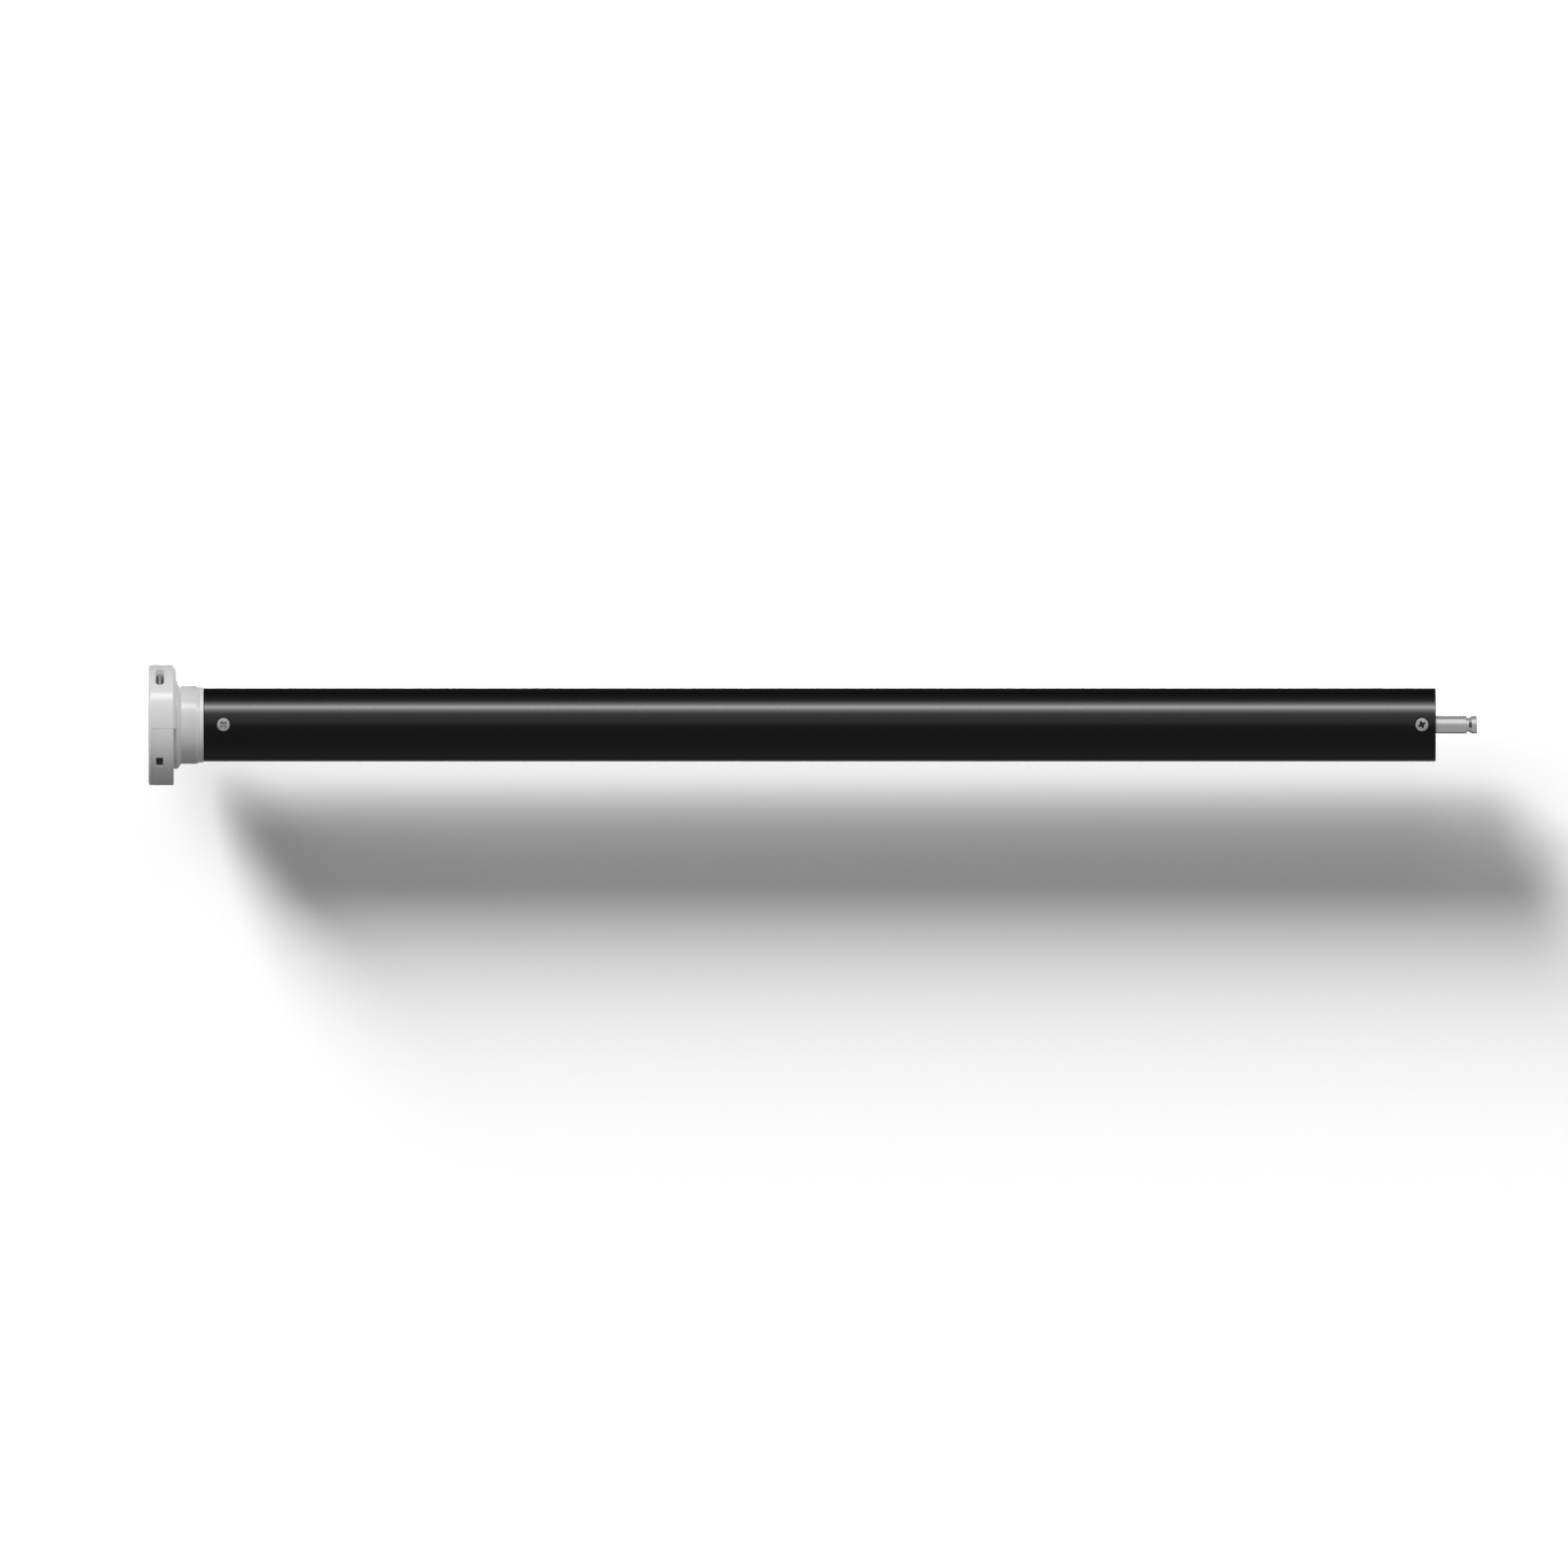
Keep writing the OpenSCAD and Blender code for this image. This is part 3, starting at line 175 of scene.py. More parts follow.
# Motor
# A drawn steel can with a plastic end bell, two ferrite field magnets, carbon brushes and
# sintered bronze bushes. Rubber rings hold it in the tube, and its screws go into the brake.
bronze = finish(
    "bronze",
    lambda place: place.noise(5000).mix((0.42, 0.26, 0.1, 1), (0.62, 0.42, 0.18, 1)),
    lambda place: 0.3 + 0.25 * place.noise(2500),
    lambda place: place.noise(9000), 5e-6, Metallic=1.0)
drawn_steel = finish(
    "drawn_steel",
    lambda place: place.noise(500, (0.1, 1, 1)).mix(grey(0.42), grey(0.55)),
    lambda place: 0.28 + 0.15 * place.noise(900, (0.1, 1, 1)),
    lambda place: place.noise(1500, (0.1, 1, 1)), 4e-6, Metallic=1.0)
nylon = finish(
    "nylon",
    lambda place: place.noise(300).mix((0.66, 0.6, 0.46, 1), (0.74, 0.69, 0.56, 1)),
    lambda place: 0.38 + 0.1 * place.noise(700),
    lambda place: place.noise(2500), 6e-6)
carbon = finish(
    "carbon",
    lambda place: place.noise(4000).mix(grey(0.025), grey(0.06)),
    0.55, lambda place: place.noise(7000), 1e-5)
moulded_rubber = finish(
    "moulded_rubber",
    lambda place: place.noise(600).mix(grey(0.018), grey(0.03)),
    lambda place: 0.6 + 0.2 * place.noise(900),
    lambda place: place.noise(3000), 1e-5)
bright_steel = finish(
    "bright_steel",
    lambda place: place.noise(1500).mix(grey(0.65), grey(0.7)),
    lambda place: 0.17 + 0.06 * place.noise(2500),
    lambda place: place.noise(5000), 6e-7, Metallic=1.0)
dress(drawn_steel, "motor_can")
dress(nylon, "end_bell", "cable_connectors")
dress(ferrite, "field_magnets")
dress(carbon, "brushes")
dress(bronze, "motor_bushes")
dress(moulded_rubber, "rubber_rings")
dress(bright_steel, "motor_screws", "neck_screws")

# Brake and gearbox
# Sintered steel throughout, but for the brass sun gear and the acetal planets of the first
# stage. The wrap spring sits on the rotor's hub inside the brake's drum.
sintered = finish(
    "sintered",
    lambda place: place.noise(6000).mix(grey(0.24), grey(0.38)),
    lambda place: 0.38 + 0.2 * place.noise(3000),
    lambda place: place.noise(9000), 8e-6, Metallic=1.0)
acetal = finish(
    "acetal",
    lambda place: place.noise(400).mix((0.72, 0.69, 0.6, 1), (0.8, 0.77, 0.68, 1)),
    lambda place: 0.3 + 0.1 * place.noise(1200),
    lambda place: place.noise(3000), 4e-6)
turned_brass = finish(
    "turned_brass",
    lambda place: turning_marks(place).mix((0.62, 0.42, 0.14, 1), (0.78, 0.57, 0.24, 1)),
    lambda place: 0.22 + 0.2 * turning_marks(place, 5000),
    turning_marks, 4e-6, Metallic=1.0)
dress(sintered, "brake_housing", "ring_gear", "carrier_1", "carrier_2")
dress(sintered, *[f"planet_{stage}{place}" for stage in (2, 3) for place in "abc"])
dress(acetal, *[f"planet_1{place}" for place in "abc"])
dress(turned_brass, "sun_gear")

# Battery pack
# Three lithium cells in plain wraps lie end to end in a shrink sleeve, with a protection board
# at the end, foam pads against rattle and moulded rings that centre the pack in the tube.
cell_wrap = finish(
    "cell_wrap",
    lambda place: place.noise(200).mix((0.05, 0.2, 0.4, 1), (0.07, 0.24, 0.46, 1)),
    0.25, lambda place: place.noise(500, (0.3, 1, 1)), 4e-5)
shrink_sleeve = finish(
    "shrink_sleeve",
    lambda place: place.noise(150).mix((0.015, 0.06, 0.2, 1), (0.025, 0.09, 0.28, 1)),
    0.22, lambda place: place.noise(300, (0.2, 1, 1)), 6e-5)
black_moulding = finish(
    "black_moulding",
    lambda place: place.noise(500).mix(grey(0.028), grey(0.04)),
    lambda place: 0.42 + 0.14 * place.noise(900),
    lambda place: place.noise(4000), 1.2e-5)
solder_mask = finish(
    "solder_mask",
    lambda place: place.node("Math", {"operation": "GREATER_THAN"}, {0: place.noise(900), 1: 0.56})
    .mix((0.012, 0.11, 0.045, 1), (0.03, 0.2, 0.09, 1)),
    0.32, lambda place: place.noise(900), 1.5e-5)
foam = finish(
    "foam",
    lambda place: place.noise(3000).mix(grey(0.05), grey(0.12)),
    0.9, lambda place: place.noise(3500), 1.5e-4)
red_insulation = finish(
    "red_insulation",
    lambda place: place.noise(500).mix((0.42, 0.012, 0.012, 1), (0.5, 0.02, 0.02, 1)),
    0.4, lambda place: place.noise(1500), 8e-6)
black_insulation = finish(
    "black_insulation",
    lambda place: place.noise(500).mix(grey(0.016), grey(0.026)),
    0.42, lambda place: place.noise(1500), 8e-6)
dress(cell_wrap, "battery_cells")
dress(shrink_sleeve, "battery_sleeve")
dress(black_moulding, "pack_spacers", "board_tray", "button_switch", "board_components")
dress(solder_mask, "protection_board", "sensor_board", "control_board", "head_board")
dress(foam, "foam_pads")
dress(red_insulation, "battery_leads")
dress(black_insulation, "motor_leads", "head_cable")

# Output shaft
# Turned, ground and polished steel in one piece with the last carrier's disc and its three
# pins. A clip holds it from outside, and the groove near its tip takes the adapter's ring.
MM = 0.001
TURN = 2 * math.pi
ARC_STEPS = 5
SMOOTH_UP_TO = math.radians(35)


def span(node):
    """Start and end along X, and highest point, of a node, in millimetres."""
    low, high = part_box(node)
    return low.x / MM, high.x / MM, high.z / MM


def rounded(corners, closed=True):
    """An outline of (x, r) through corners (x, r, radius). Each corner becomes an arc whose centre
    lies on the bisector of its two sides, at its radius over the sine of half their angle."""
    points = np.array([corner[:2] for corner in corners], float)
    outline = []
    for i, corner in enumerate(corners):
        before = points[i - 1] - points[i]
        after = points[(i + 1) % len(points)] - points[i]
        if corner[2] == 0 or (not closed and i in (0, len(points) - 1)):
            outline.append(points[i:i + 1])
            continue
        before, after = before / np.linalg.norm(before), after / np.linalg.norm(after)
        middle = (before + after) / np.linalg.norm(before + after)
        half = math.acos(np.clip(before @ after, -1, 1)) / 2
        centre = points[i] + middle * corner[2] / math.sin(half)
        first = points[i] + before * corner[2] / math.tan(half) - centre
        last = points[i] + after * corner[2] / math.tan(half) - centre
        bend = math.pi - 2 * half
        share = np.linspace(0, 1, ARC_STEPS + 1)[:, None]
        outline.append(centre + (np.sin((1 - share) * bend) * first + np.sin(share * bend) * last)
                       / math.sin(bend))
    if closed:
        outline.append(outline[0][:1])
    return np.concatenate(outline)


def turned(profile, angles):
    """A profile of (x, r) carried round the axis: y is r times the cosine of each angle and z is
    r times its sine, so angles start at the back and go over the top."""
    x, r = profile[:, :1], profile[:, 1:]
    return np.stack(np.broadcast_arrays(x, r * np.cos(angles), r * np.sin(angles)), -1)


def full_turn(count=192, *extra):
    """Angles all the way round, with some more where an edge needs them."""
    return np.unique(np.concatenate([np.linspace(0, TURN, count + 1), extra]))


def settle(mesh, name, material, body, slot, nodes):
    """Turns a mesh's faces outwards, smooths it and puts it on its body in place of its nodes.
    At an edge that stays smooth, the larger face's normal counts for more."""
    shell = bmesh.new()
    shell.from_mesh(mesh)
    bmesh.ops.recalc_face_normals(shell, faces=shell.faces)
    shell.to_mesh(mesh)
    shell.free()
    mesh.polygons.foreach_set("use_smooth", np.ones(len(mesh.polygons), bool))
    mesh.set_sharp_from_angle(angle=SMOOTH_UP_TO)
    mesh.materials.clear()
    mesh.materials.append(material)
    made = bpy.data.objects.new(name, mesh)
    bpy.context.scene.collection.objects.link(made)
    made.modifiers.new("shading", "WEIGHTED_NORMAL").keep_sharp = True
    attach(made, body)
    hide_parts(*nodes)
    return made


def piece(name, grids, *rest):
    """Joins grids of points, in millimetres, into one mesh. Neighbours in a grid share a quad,
    points at the same place become one, and a quad that loses a corner becomes a triangle."""
    points, quads, start = [], [], 0
    for grid in grids:
        index = start + np.arange(grid.shape[0] * grid.shape[1]).reshape(grid.shape[:2])
        quads.append(np.stack([index[:-1, :-1], index[1:, :-1], index[1:, 1:], index[:-1, 1:]], -1)
                     .reshape(-1, 4))
        points.append(grid.reshape(-1, 3))
        start += index.size
    points = np.concatenate(points)
    _, first, shared = np.unique(np.round(points * 1e4), axis=0, return_index=True, return_inverse=True)
    quads = shared.reshape(-1)[np.concatenate(quads)]
    own = quads != np.roll(quads, 1, axis=1)
    whole = own.sum(1) > 2
    corners, totals = quads[whole][own[whole]], own[whole].sum(1)
    mesh = bpy.data.meshes.new(name)
    mesh.vertices.add(len(first))
    mesh.vertices.foreach_set("co", (points[first] * MM).ravel())
    mesh.loops.add(len(corners))
    mesh.loops.foreach_set("vertex_index", corners)
    mesh.polygons.add(len(totals))
    mesh.polygons.foreach_set("loop_start", np.cumsum(totals) - totals)
    mesh.update(calc_edges=True)
    return settle(mesh, name, *rest)


tube_start, tube_end, tube_r = span("motor_tube")
block_end = span("end_block")[1]
planet_start, planet_end = span("planet_3a")[:2]
shaft_end = span("output_shaft")[1]
clip_start, clip_end = span("output_clip")[:2]
disc_r = span("carrier_1")[2]
disc_gap, disc_length, pin_reach, pin_root = 0.5, 3.5, 0.2, 0.5
disc_start = planet_end + disc_gap
disc_end = disc_start + disc_length
pin_start = planet_start - pin_reach
journal_r, drive_r, groove_r, clip_groove_r = 4.0, 3.0, 2.35, 3.4
pin_r, pin_circle_r = 1.1, 6.075
journal_recess, clip_play = 1.6, 0.05
journal_end = block_end - journal_recess
tip_length, groove_length, groove_wall, groove_floor_end = 1.6, 1.9, 0.15, 0.76
groove_start = shaft_end - tip_length - groove_length
flat_gap, flat_length, flat_depth, flat_edge = 0.5, 4.5, 0.5, 0.01
flat_end = groove_start - flat_gap
flat_start = flat_end - flat_length
flat_y = drive_r - flat_depth
flat_angle = math.acos(flat_y / drive_r)
shaft_profile = rounded([
    (disc_start, 0, 0), (disc_start, disc_r, 0.3), (disc_end, disc_r, 0.3), (disc_end, journal_r, 0.2),
    (clip_start - clip_play, journal_r, 0.08), (clip_start - clip_play, clip_groove_r, 0),
    (clip_end + clip_play, clip_groove_r, 0), (clip_end + clip_play, journal_r, 0.08),
    (journal_end, journal_r, 0.3), (journal_end, drive_r, 0.15),
    (flat_start, drive_r, 0), (flat_start + flat_edge, drive_r, 0),
    (flat_end - flat_edge, drive_r, 0), (flat_end, drive_r, 0),
    (groove_start, drive_r, 0.06), (groove_start + groove_wall, groove_r, 0.1),
    (groove_start + groove_floor_end, groove_r, 0.2), (groove_start + groove_length, drive_r, 0.2),
    (shaft_end, drive_r, 0.35), (shaft_end, 0, 0)], closed=False)
shaft = turned(shaft_profile, full_turn(192, flat_angle, TURN - flat_angle))
on_flat = (shaft[..., 0] > flat_start) & (shaft[..., 0] < flat_end)
shaft[..., 1] = np.where(on_flat, np.minimum(shaft[..., 1], flat_y), shaft[..., 1])
pin = turned(rounded([
    (pin_start, 0, 0), (pin_start, pin_r, 0.2), (disc_start + pin_root, pin_r, 0),
    (disc_start + pin_root, 0, 0)], closed=False), full_turn(48))
pins = [pin + (0, pin_circle_r * math.cos(a), pin_circle_r * math.sin(a))
        for a in np.radians([0, 120, 240])]
polished_steel = finish(
    "polished_steel",
    lambda place: turning_marks(place, 6000).mix(grey(0.86), grey(0.95)),
    lambda place: 0.13 + 0.1 * turning_marks(place, 4000),
    turning_marks, 1.2e-6, Metallic=1.0)
output_shaft = piece("output_shaft_ground", [shaft, *pins], polished_steel, "output", "shaft_steel",
                     ["output_shaft"])

# Output end
# A glass-filled nylon block closes the tube and keys the gearbox to it. Two sintered bushes
# carry the shaft, and an open spring-steel clip in a groove keeps the shaft in.


def copied(name, node, width, *rest):
    """A CAD node's own shape, made one closed mesh, with its flat faces joined and each edge
    rounded by a bevel of the given width in millimetres."""
    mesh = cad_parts[node].data.copy()
    shell = bmesh.new()
    shell.from_mesh(mesh)
    bmesh.ops.remove_doubles(shell, verts=shell.verts, dist=1e-7)
    bmesh.ops.dissolve_limit(shell, angle_limit=math.radians(0.5), verts=shell.verts, edges=shell.edges)
    shell.to_mesh(mesh)
    shell.free()
    made = settle(mesh, name, *rest, [node])
    bevel = made.modifiers.new("edges", "BEVEL")
    bevel.width = width * MM
    bevel.segments = 2
    bevel.limit_method = "ANGLE"
    bevel.angle_limit = math.radians(40)
    made.modifiers.move(1, 0)
    return made


spring_steel = finish(
    "spring_steel",
    lambda place: place.noise(1500).mix(grey(0.1), grey(0.2)),
    lambda place: 0.28 + 0.15 * place.noise(2500),
    lambda place: place.noise(4000), 3e-6, Metallic=1.0)
copied("end_block_moulding", "end_block", 0.15, black_moulding, "housing", "dark_plastic")
copied("clip_spring", "output_clip", 0.06, spring_steel, "output", "plain_steel")
dress(bronze, "output_bushes")

# Motor tube
# Drawn aluminium with a satin black coating. Each end has three countersunk holes, a third of
# a turn apart, a little wider than the screw heads, so that a dark ring stays round each head.
coated_tube = finish(
    "coated_tube",
    lambda place: place.noise(2500).mix(grey(0.001), grey(0.002)),
    lambda place: 0.18 + 0.06 * place.noise(1200, (0.2, 1, 1)),
    lambda place: place.noise(4000), 3e-7, Specular_IOR_Level=0.28)
screw_angles = np.radians([60, 180, 300])
screw_head_r, screw_shank_r = 2.15, 1.25
sink_gap, bore_gap = 0.35, 0.15
tube_thickness = 1.0
tube_inner_r = tube_r - tube_thickness
sink = screw_head_r - screw_shank_r
sink_floor = tube_r - sink
screw_start, screw_end = span("tube_screws")[:2]
neck_screw_x, block_screw_x = screw_start + screw_head_r, screw_end - screw_head_r
window_cells, window_rings, window_half = 20, 8, 4.0
turn_cells, length_cells = 192, 40
window_angle = TURN * window_cells / turn_cells / 2


def window_edge():
    """The edge of the square window of wall round a hole, as places along X and angles from the
    hole's own: along its four sides in turn, with as many steps on each."""
    side, still = np.linspace(-1, 1, window_cells + 1), np.ones(window_cells + 1)
    u = np.concatenate([side[:-1], still[:-1], -side[:-1], -still[:-1], -still[:1]])
    v = np.concatenate([-still[:-1], side[:-1], still[:-1], -side[:-1], -still[:1]])
    return u * window_half, v * window_angle


def rim_radius(phi, r, cone):
    """How far a hole's rim lies from the hole's axis on a cylinder of radius r: the bore's radius,
    or for a cone of 45 degrees its reach at the height where it leaves the cylinder."""
    reach = np.full_like(phi, screw_shank_r + bore_gap)
    for _ in range(20 if cone else 0):
        reach = screw_shank_r + sink_gap + np.sqrt(r**2 - (reach * np.sin(phi))**2) - sink_floor
    return reach


def hole_window(x, angle, r, cone):
    """The wall round a hole: points go straight from the window's edge to the hole's rim."""
    edge_x, edge_a = window_edge()
    phi = np.arctan2(r * edge_a, edge_x)
    reach = rim_radius(phi, r, cone)
    inwards = np.linspace(0, 1, window_rings + 1)[:, None]
    u = (1 - inwards) * edge_x + inwards * reach * np.cos(phi)
    a = (1 - inwards) * edge_a + inwards * np.arcsin(reach * np.sin(phi) / r)
    return np.stack([x + u, r * np.cos(angle + a), r * np.sin(angle + a)], -1)


def outward(x, angle, u, v, w):
    """Points at u along X, v round the axis and w out from it, at an angle round the axis."""
    return np.stack(np.broadcast_arrays(
        x + u, w * math.cos(angle) - v * math.sin(angle), w * math.sin(angle) + v * math.cos(angle)), -1)


def hole_wall(x, angle):
    """The wall of a countersunk hole: from its rim down the cone, and through to the inside."""
    edge_x, edge_a = window_edge()
    rows = []
    for r, cone in ((tube_r, True), (tube_inner_r, False)):
        phi = np.arctan2(r * edge_a, edge_x)
        reach = rim_radius(phi, r, cone)
        rows.append((phi, reach, np.sqrt(r**2 - (reach * np.sin(phi))**2)))
    bottom = np.full_like(rows[0][0], screw_shank_r + sink_gap)
    bore = np.full_like(bottom, screw_shank_r + bore_gap)
    floor = np.full_like(bottom, sink_floor)
    phi = np.stack([rows[0][0], rows[0][0], rows[1][0], rows[1][0]])
    reach = np.stack([rows[0][1], bottom, bore, rows[1][1]])
    height = np.stack([rows[0][2], floor, floor, rows[1][2]])
    return outward(x, angle, reach * np.cos(phi), reach * np.sin(phi), height)


def tube_wall(r, cone, ends):
    """One face of the tube's wall: plain bands, and round each ring of holes its windows and the
    strips between them."""
    plain = full_turn(turn_cells)
    stops = [ends[0], neck_screw_x - window_half, neck_screw_x + window_half,
             block_screw_x - window_half, block_screw_x + window_half, ends[1]]
    grids = []
    for i in (0, 2, 4):
        x = np.linspace(stops[i], stops[i + 1], length_cells + 1 if i == 2 else 3)
        grids.append(turned(np.stack([x, np.full_like(x, r)], 1), plain))
    for hole_x in (neck_screw_x, block_screw_x):
        x = np.linspace(hole_x - window_half, hole_x + window_half, window_cells + 1)
        for angle in screw_angles:
            strip = np.linspace(angle + window_angle, angle + TURN / 3 - window_angle,
                                turn_cells // 3 - window_cells + 1)
            grids.append(turned(np.stack([x, np.full_like(x, r)], 1), strip))
            grids.append(hole_window(hole_x, angle, r, cone))
    return grids


end_round, inner_round, round_spare = 0.35, 0.15, 0.01
tube_lips = [turned(rounded([
    (x + side * end_round, tube_r, 0), (x, tube_r, end_round - round_spare),
    (x, tube_inner_r, inner_round - round_spare), (x + side * inner_round, tube_inner_r, 0)],
    closed=False), full_turn(turn_cells)) for x, side in ((tube_start, 1), (tube_end, -1))]
motor_tube = piece(
    "tube_coated",
    tube_wall(tube_r, True, (tube_start + end_round, tube_end - end_round))
    + tube_wall(tube_inner_r, False, (tube_start + inner_round, tube_end - inner_round)) + tube_lips
    + [hole_wall(x, a) for x in (neck_screw_x, block_screw_x) for a in screw_angles],
    coated_tube, "housing", "black_tube", ["motor_tube"])

# Tube screws
# Countersunk cross-recess screws, nickel plated, with painted shade that darkens their recesses.
# Three go into the neck at the head's end and three into the end block.
rows_per_thread, thread_share, point_share, point_length = 6, 0.18, 0.7, 0.4
neck_screw_tip, block_screw_tip = -5.2, -4.5


def recessed_top(top_r, dome, reach, half_slot, draft, depth, turn):
    """The top of a screw's head, as a square grid whose lines follow the recess: its reach from
    the screw's axis, half the width of its slots, the draft of its walls and its depth. Out from
    the recess the grid turns into a disc: each point moves along its own ray until its distance is
    the larger of its coordinates. The depth grows with the distance inside the nearer arm."""
    half = np.array([0, half_slot - draft, half_slot, (half_slot + reach) / 2, reach - draft, reach,
                     (reach + top_r) / 2, top_r])
    line = np.concatenate([-half[:0:-1], half])
    a, b = np.meshgrid(line, line)
    far, near = np.maximum(np.abs(a), np.abs(b)), np.minimum(np.abs(a), np.abs(b))
    inside = np.minimum(reach - far, half_slot - near)
    share = np.clip((far - reach) / (top_r - reach), 0, 1)
    stretch = share * (far / np.maximum(np.hypot(a, b), 1e-9) - 1)
    a, b = a * (1 + stretch), b * (1 + stretch)
    w = dome * (1 - (a**2 + b**2) / top_r**2) - depth * np.clip(inside / draft, 0, 1)
    return a * math.cos(turn) - b * math.sin(turn), a * math.sin(turn) + b * math.cos(turn), w


def screw(head, shank_r, tip, pitch, dome, recess, turn):
    """A screw round its own axis, as grids of distances (u, v) from it and heights w above the
    head's top: the recessed top, then the head's profile of (r, w) and a shank whose radius
    follows a wave that climbs one pitch a turn."""
    top = recessed_top(head[0][0], dome, *recess, turn)
    edge = [np.concatenate([g[0, :-1], g[:-1, -1], g[-1, :0:-1], g[::-1, 0]]) for g in top[:2]]
    phi = np.unwrap(np.arctan2(edge[1], edge[0]))
    side = np.array(head)[..., None] + 0 * phi
    rows = np.arange(0, (head[-1][1] - tip) / pitch, 1 / rows_per_thread)[:, None]
    wave = np.abs((rows - phi / TURN) % 1 - 0.5) * 2
    fade = np.clip(np.minimum(rows, rows[::-1]), 0, 1)
    shank = shank_r - thread_share * pitch * fade * wave
    depth = head[-1][1] - rows * pitch + 0 * phi
    point = np.stack([point_share * shank[-1], 0 * phi])
    r = np.concatenate([side[:, 0], shank, point])
    w = np.concatenate([side[:, 1], depth, depth[-1] - point_length + 0 * point])
    return [top, (r * np.cos(phi), r * np.sin(phi), w)]


screw_sunk, recess_shade, recess_fade = 0.2, 0.75, 0.7
screw_top = tube_r - screw_sunk
head_edge = 0.12
sunk_head = [(screw_head_r - head_edge, 0), (screw_head_r - 0.02, -0.04), (screw_head_r, -head_edge),
             (screw_shank_r, -head_edge - sink)]
sunk_dome, sunk_pitch, sunk_recess = 0.12, 0.45, (1.3, 0.42, 0.4, 1.4)


def above_painted_recess_shade(place):
    """0 in the depth of a recess and 1 at the head's top, from the distance to the tube's axis: the mask
    of the painted shade in the recess.
    """
    across = place.node("VectorMath", {"operation": "MULTIPLY"}, {0: place, 1: (0, 1, 1)})
    radius = place.node("VectorMath", {"operation": "LENGTH"}, {0: across}, output="Value")
    return ((radius - (screw_top - recess_shade) * MM) * (1 / (recess_fade * MM))).clamp()


# The screws' colour falls from 0.7 at the top to 0.28 in the depth of each recess: painted shade.
plated_steel_with_painted_shade = finish(
    "plated_steel_with_painted_shade",
    lambda place: above_painted_recess_shade(place).mix(grey(0.28), grey(0.7)),
    lambda place: 0.17 + 0.06 * place.noise(2500),
    lambda place: place.noise(5000), 6e-7, Metallic=1.0)
screw_rows = (neck_screw_x, neck_screw_tip), (block_screw_x, block_screw_tip)
screw_places = [(x, a, tip) for x, tip in screw_rows for a in screw_angles]
sunk_screws = []
for (x, a, tip), turn in zip(screw_places, np.radians([12, 47, 78, 31, 64, 5])):
    for u, v, w in screw(sunk_head, screw_shank_r, tip, sunk_pitch, sunk_dome, sunk_recess, turn):
        sunk_screws.append(outward(x, a, u, v, screw_top + w))
piece("tube_screws_plated", sunk_screws, plated_steel_with_painted_shade, "housing", "screw_steel", ["tube_screws"])

# Thrust washer
# Turned from white low-friction plastic and pressed onto the neck. It keeps the crown ring off
# the tube.
white_acetal = finish(
    "white_acetal",
    lambda place: place.noise(300).mix(grey(0.74, 0.004), grey(0.78, 0.004)),
    lambda place: 0.36 + 0.08 * place.noise(1200),
    lambda place: place.noise(2500), 4e-6)
washer_start, washer_end, washer_r = span("thrust_washer")
neck_r, press_fit, washer_reach = tube_inner_r, 0.03, 0.07
piece("washer_turned", [turned(rounded([
    (washer_start - washer_reach, neck_r + press_fit, 0.05),
    (washer_start - washer_reach, washer_r, 0.05), (washer_end, washer_r, 0.08),
    (washer_end, neck_r + press_fit, 0.05)]), full_turn())],
    white_acetal, "housing", "washer_plastic", ["thrust_washer"])

# Crown ring
# Light grey acetal, moulded. It turns freely on the neck with the blind's roller tube, and
# its keyway, at the back, takes the key of the crown adapter.
ring_moulding = finish(
    "ring_moulding",
    lambda place: place.noise(60).mix(grey(0.664, 0.003), grey(0.674, 0.003)),
    lambda place: 0.22 + 0.05 * place.noise(900),
    lambda place: place.noise(1800), 2e-6, Specular_IOR_Level=0.28)
ring_start, ring_end, ring_r = span("crown_ring")
running_fit, ring_taper_length, ring_taper = 0.06, 1.2, 0.5
ring_bore_r = neck_r + running_fit
key_half, key_floor = 1.5, ring_r - 0.8
ring_profile = rounded([
    (ring_start, ring_bore_r, 0.12), (ring_start, ring_r, 0.05),
    (ring_end - ring_taper_length, ring_r, 0.8), (ring_end, ring_r - ring_taper, 0.1),
    (ring_end, ring_bore_r, 0.12)])


def round_from_key(profile, share):
    """A ring's profile carried round from one wall of its keyway to the other: the walls stand at
    half the key's width, so the first angle is the arcsine of that over the radius."""
    r = profile[:, 1:]
    first = np.arcsin(key_half / r)
    angle = first + share * (TURN - 2 * first)
    return np.stack(np.broadcast_arrays(profile[:, :1], r * np.cos(angle), r * np.sin(angle)), -1)


def over_key(profile, z):
    """The same profile between the keyway's walls, where the outside is cut down to a flat floor."""
    r = profile[:, 1:]
    y = np.where(r > key_floor, key_floor, np.sqrt(r**2 - z**2))
    return np.stack(np.broadcast_arrays(profile[:, :1], y, z), -1)


ring_round = round_from_key(ring_profile, np.linspace(0, 1, 190))
ring_key = over_key(ring_profile, np.linspace(-key_half, key_half, 9))
ring_walls = [np.stack([ring_key[:, -1], ring_round[:, 0]], 1),
              np.stack([ring_round[:, -1], ring_key[:, 0]], 1)]
crown_ring = piece("crown_ring_moulding", [ring_round, ring_key, *ring_walls], ring_moulding, "crown",
                   "ring_plastic", ["crown_ring"])

# Neck
# A light grey moulding with a tapered flange, the crown ring's seat and a plug that three screws
# hold in the tube. A rib on the flange's back fills the gap behind the cover.
neck_start, neck_end, flange_r = span("neck")
cover_end = span("head_cover")[1]
cable_bore_r, plug_play = 5.0, 0.03
plug_r = tube_inner_r - plug_play
flange_length, flange_taper, ring_play = 0.9, 1.5, 0.03
rib_gap, rib_root, rib_inset, rib_width, rib_end_angle = 0.01, 0.2, 0.1, 1.9, 5
part_turn_cells = 96


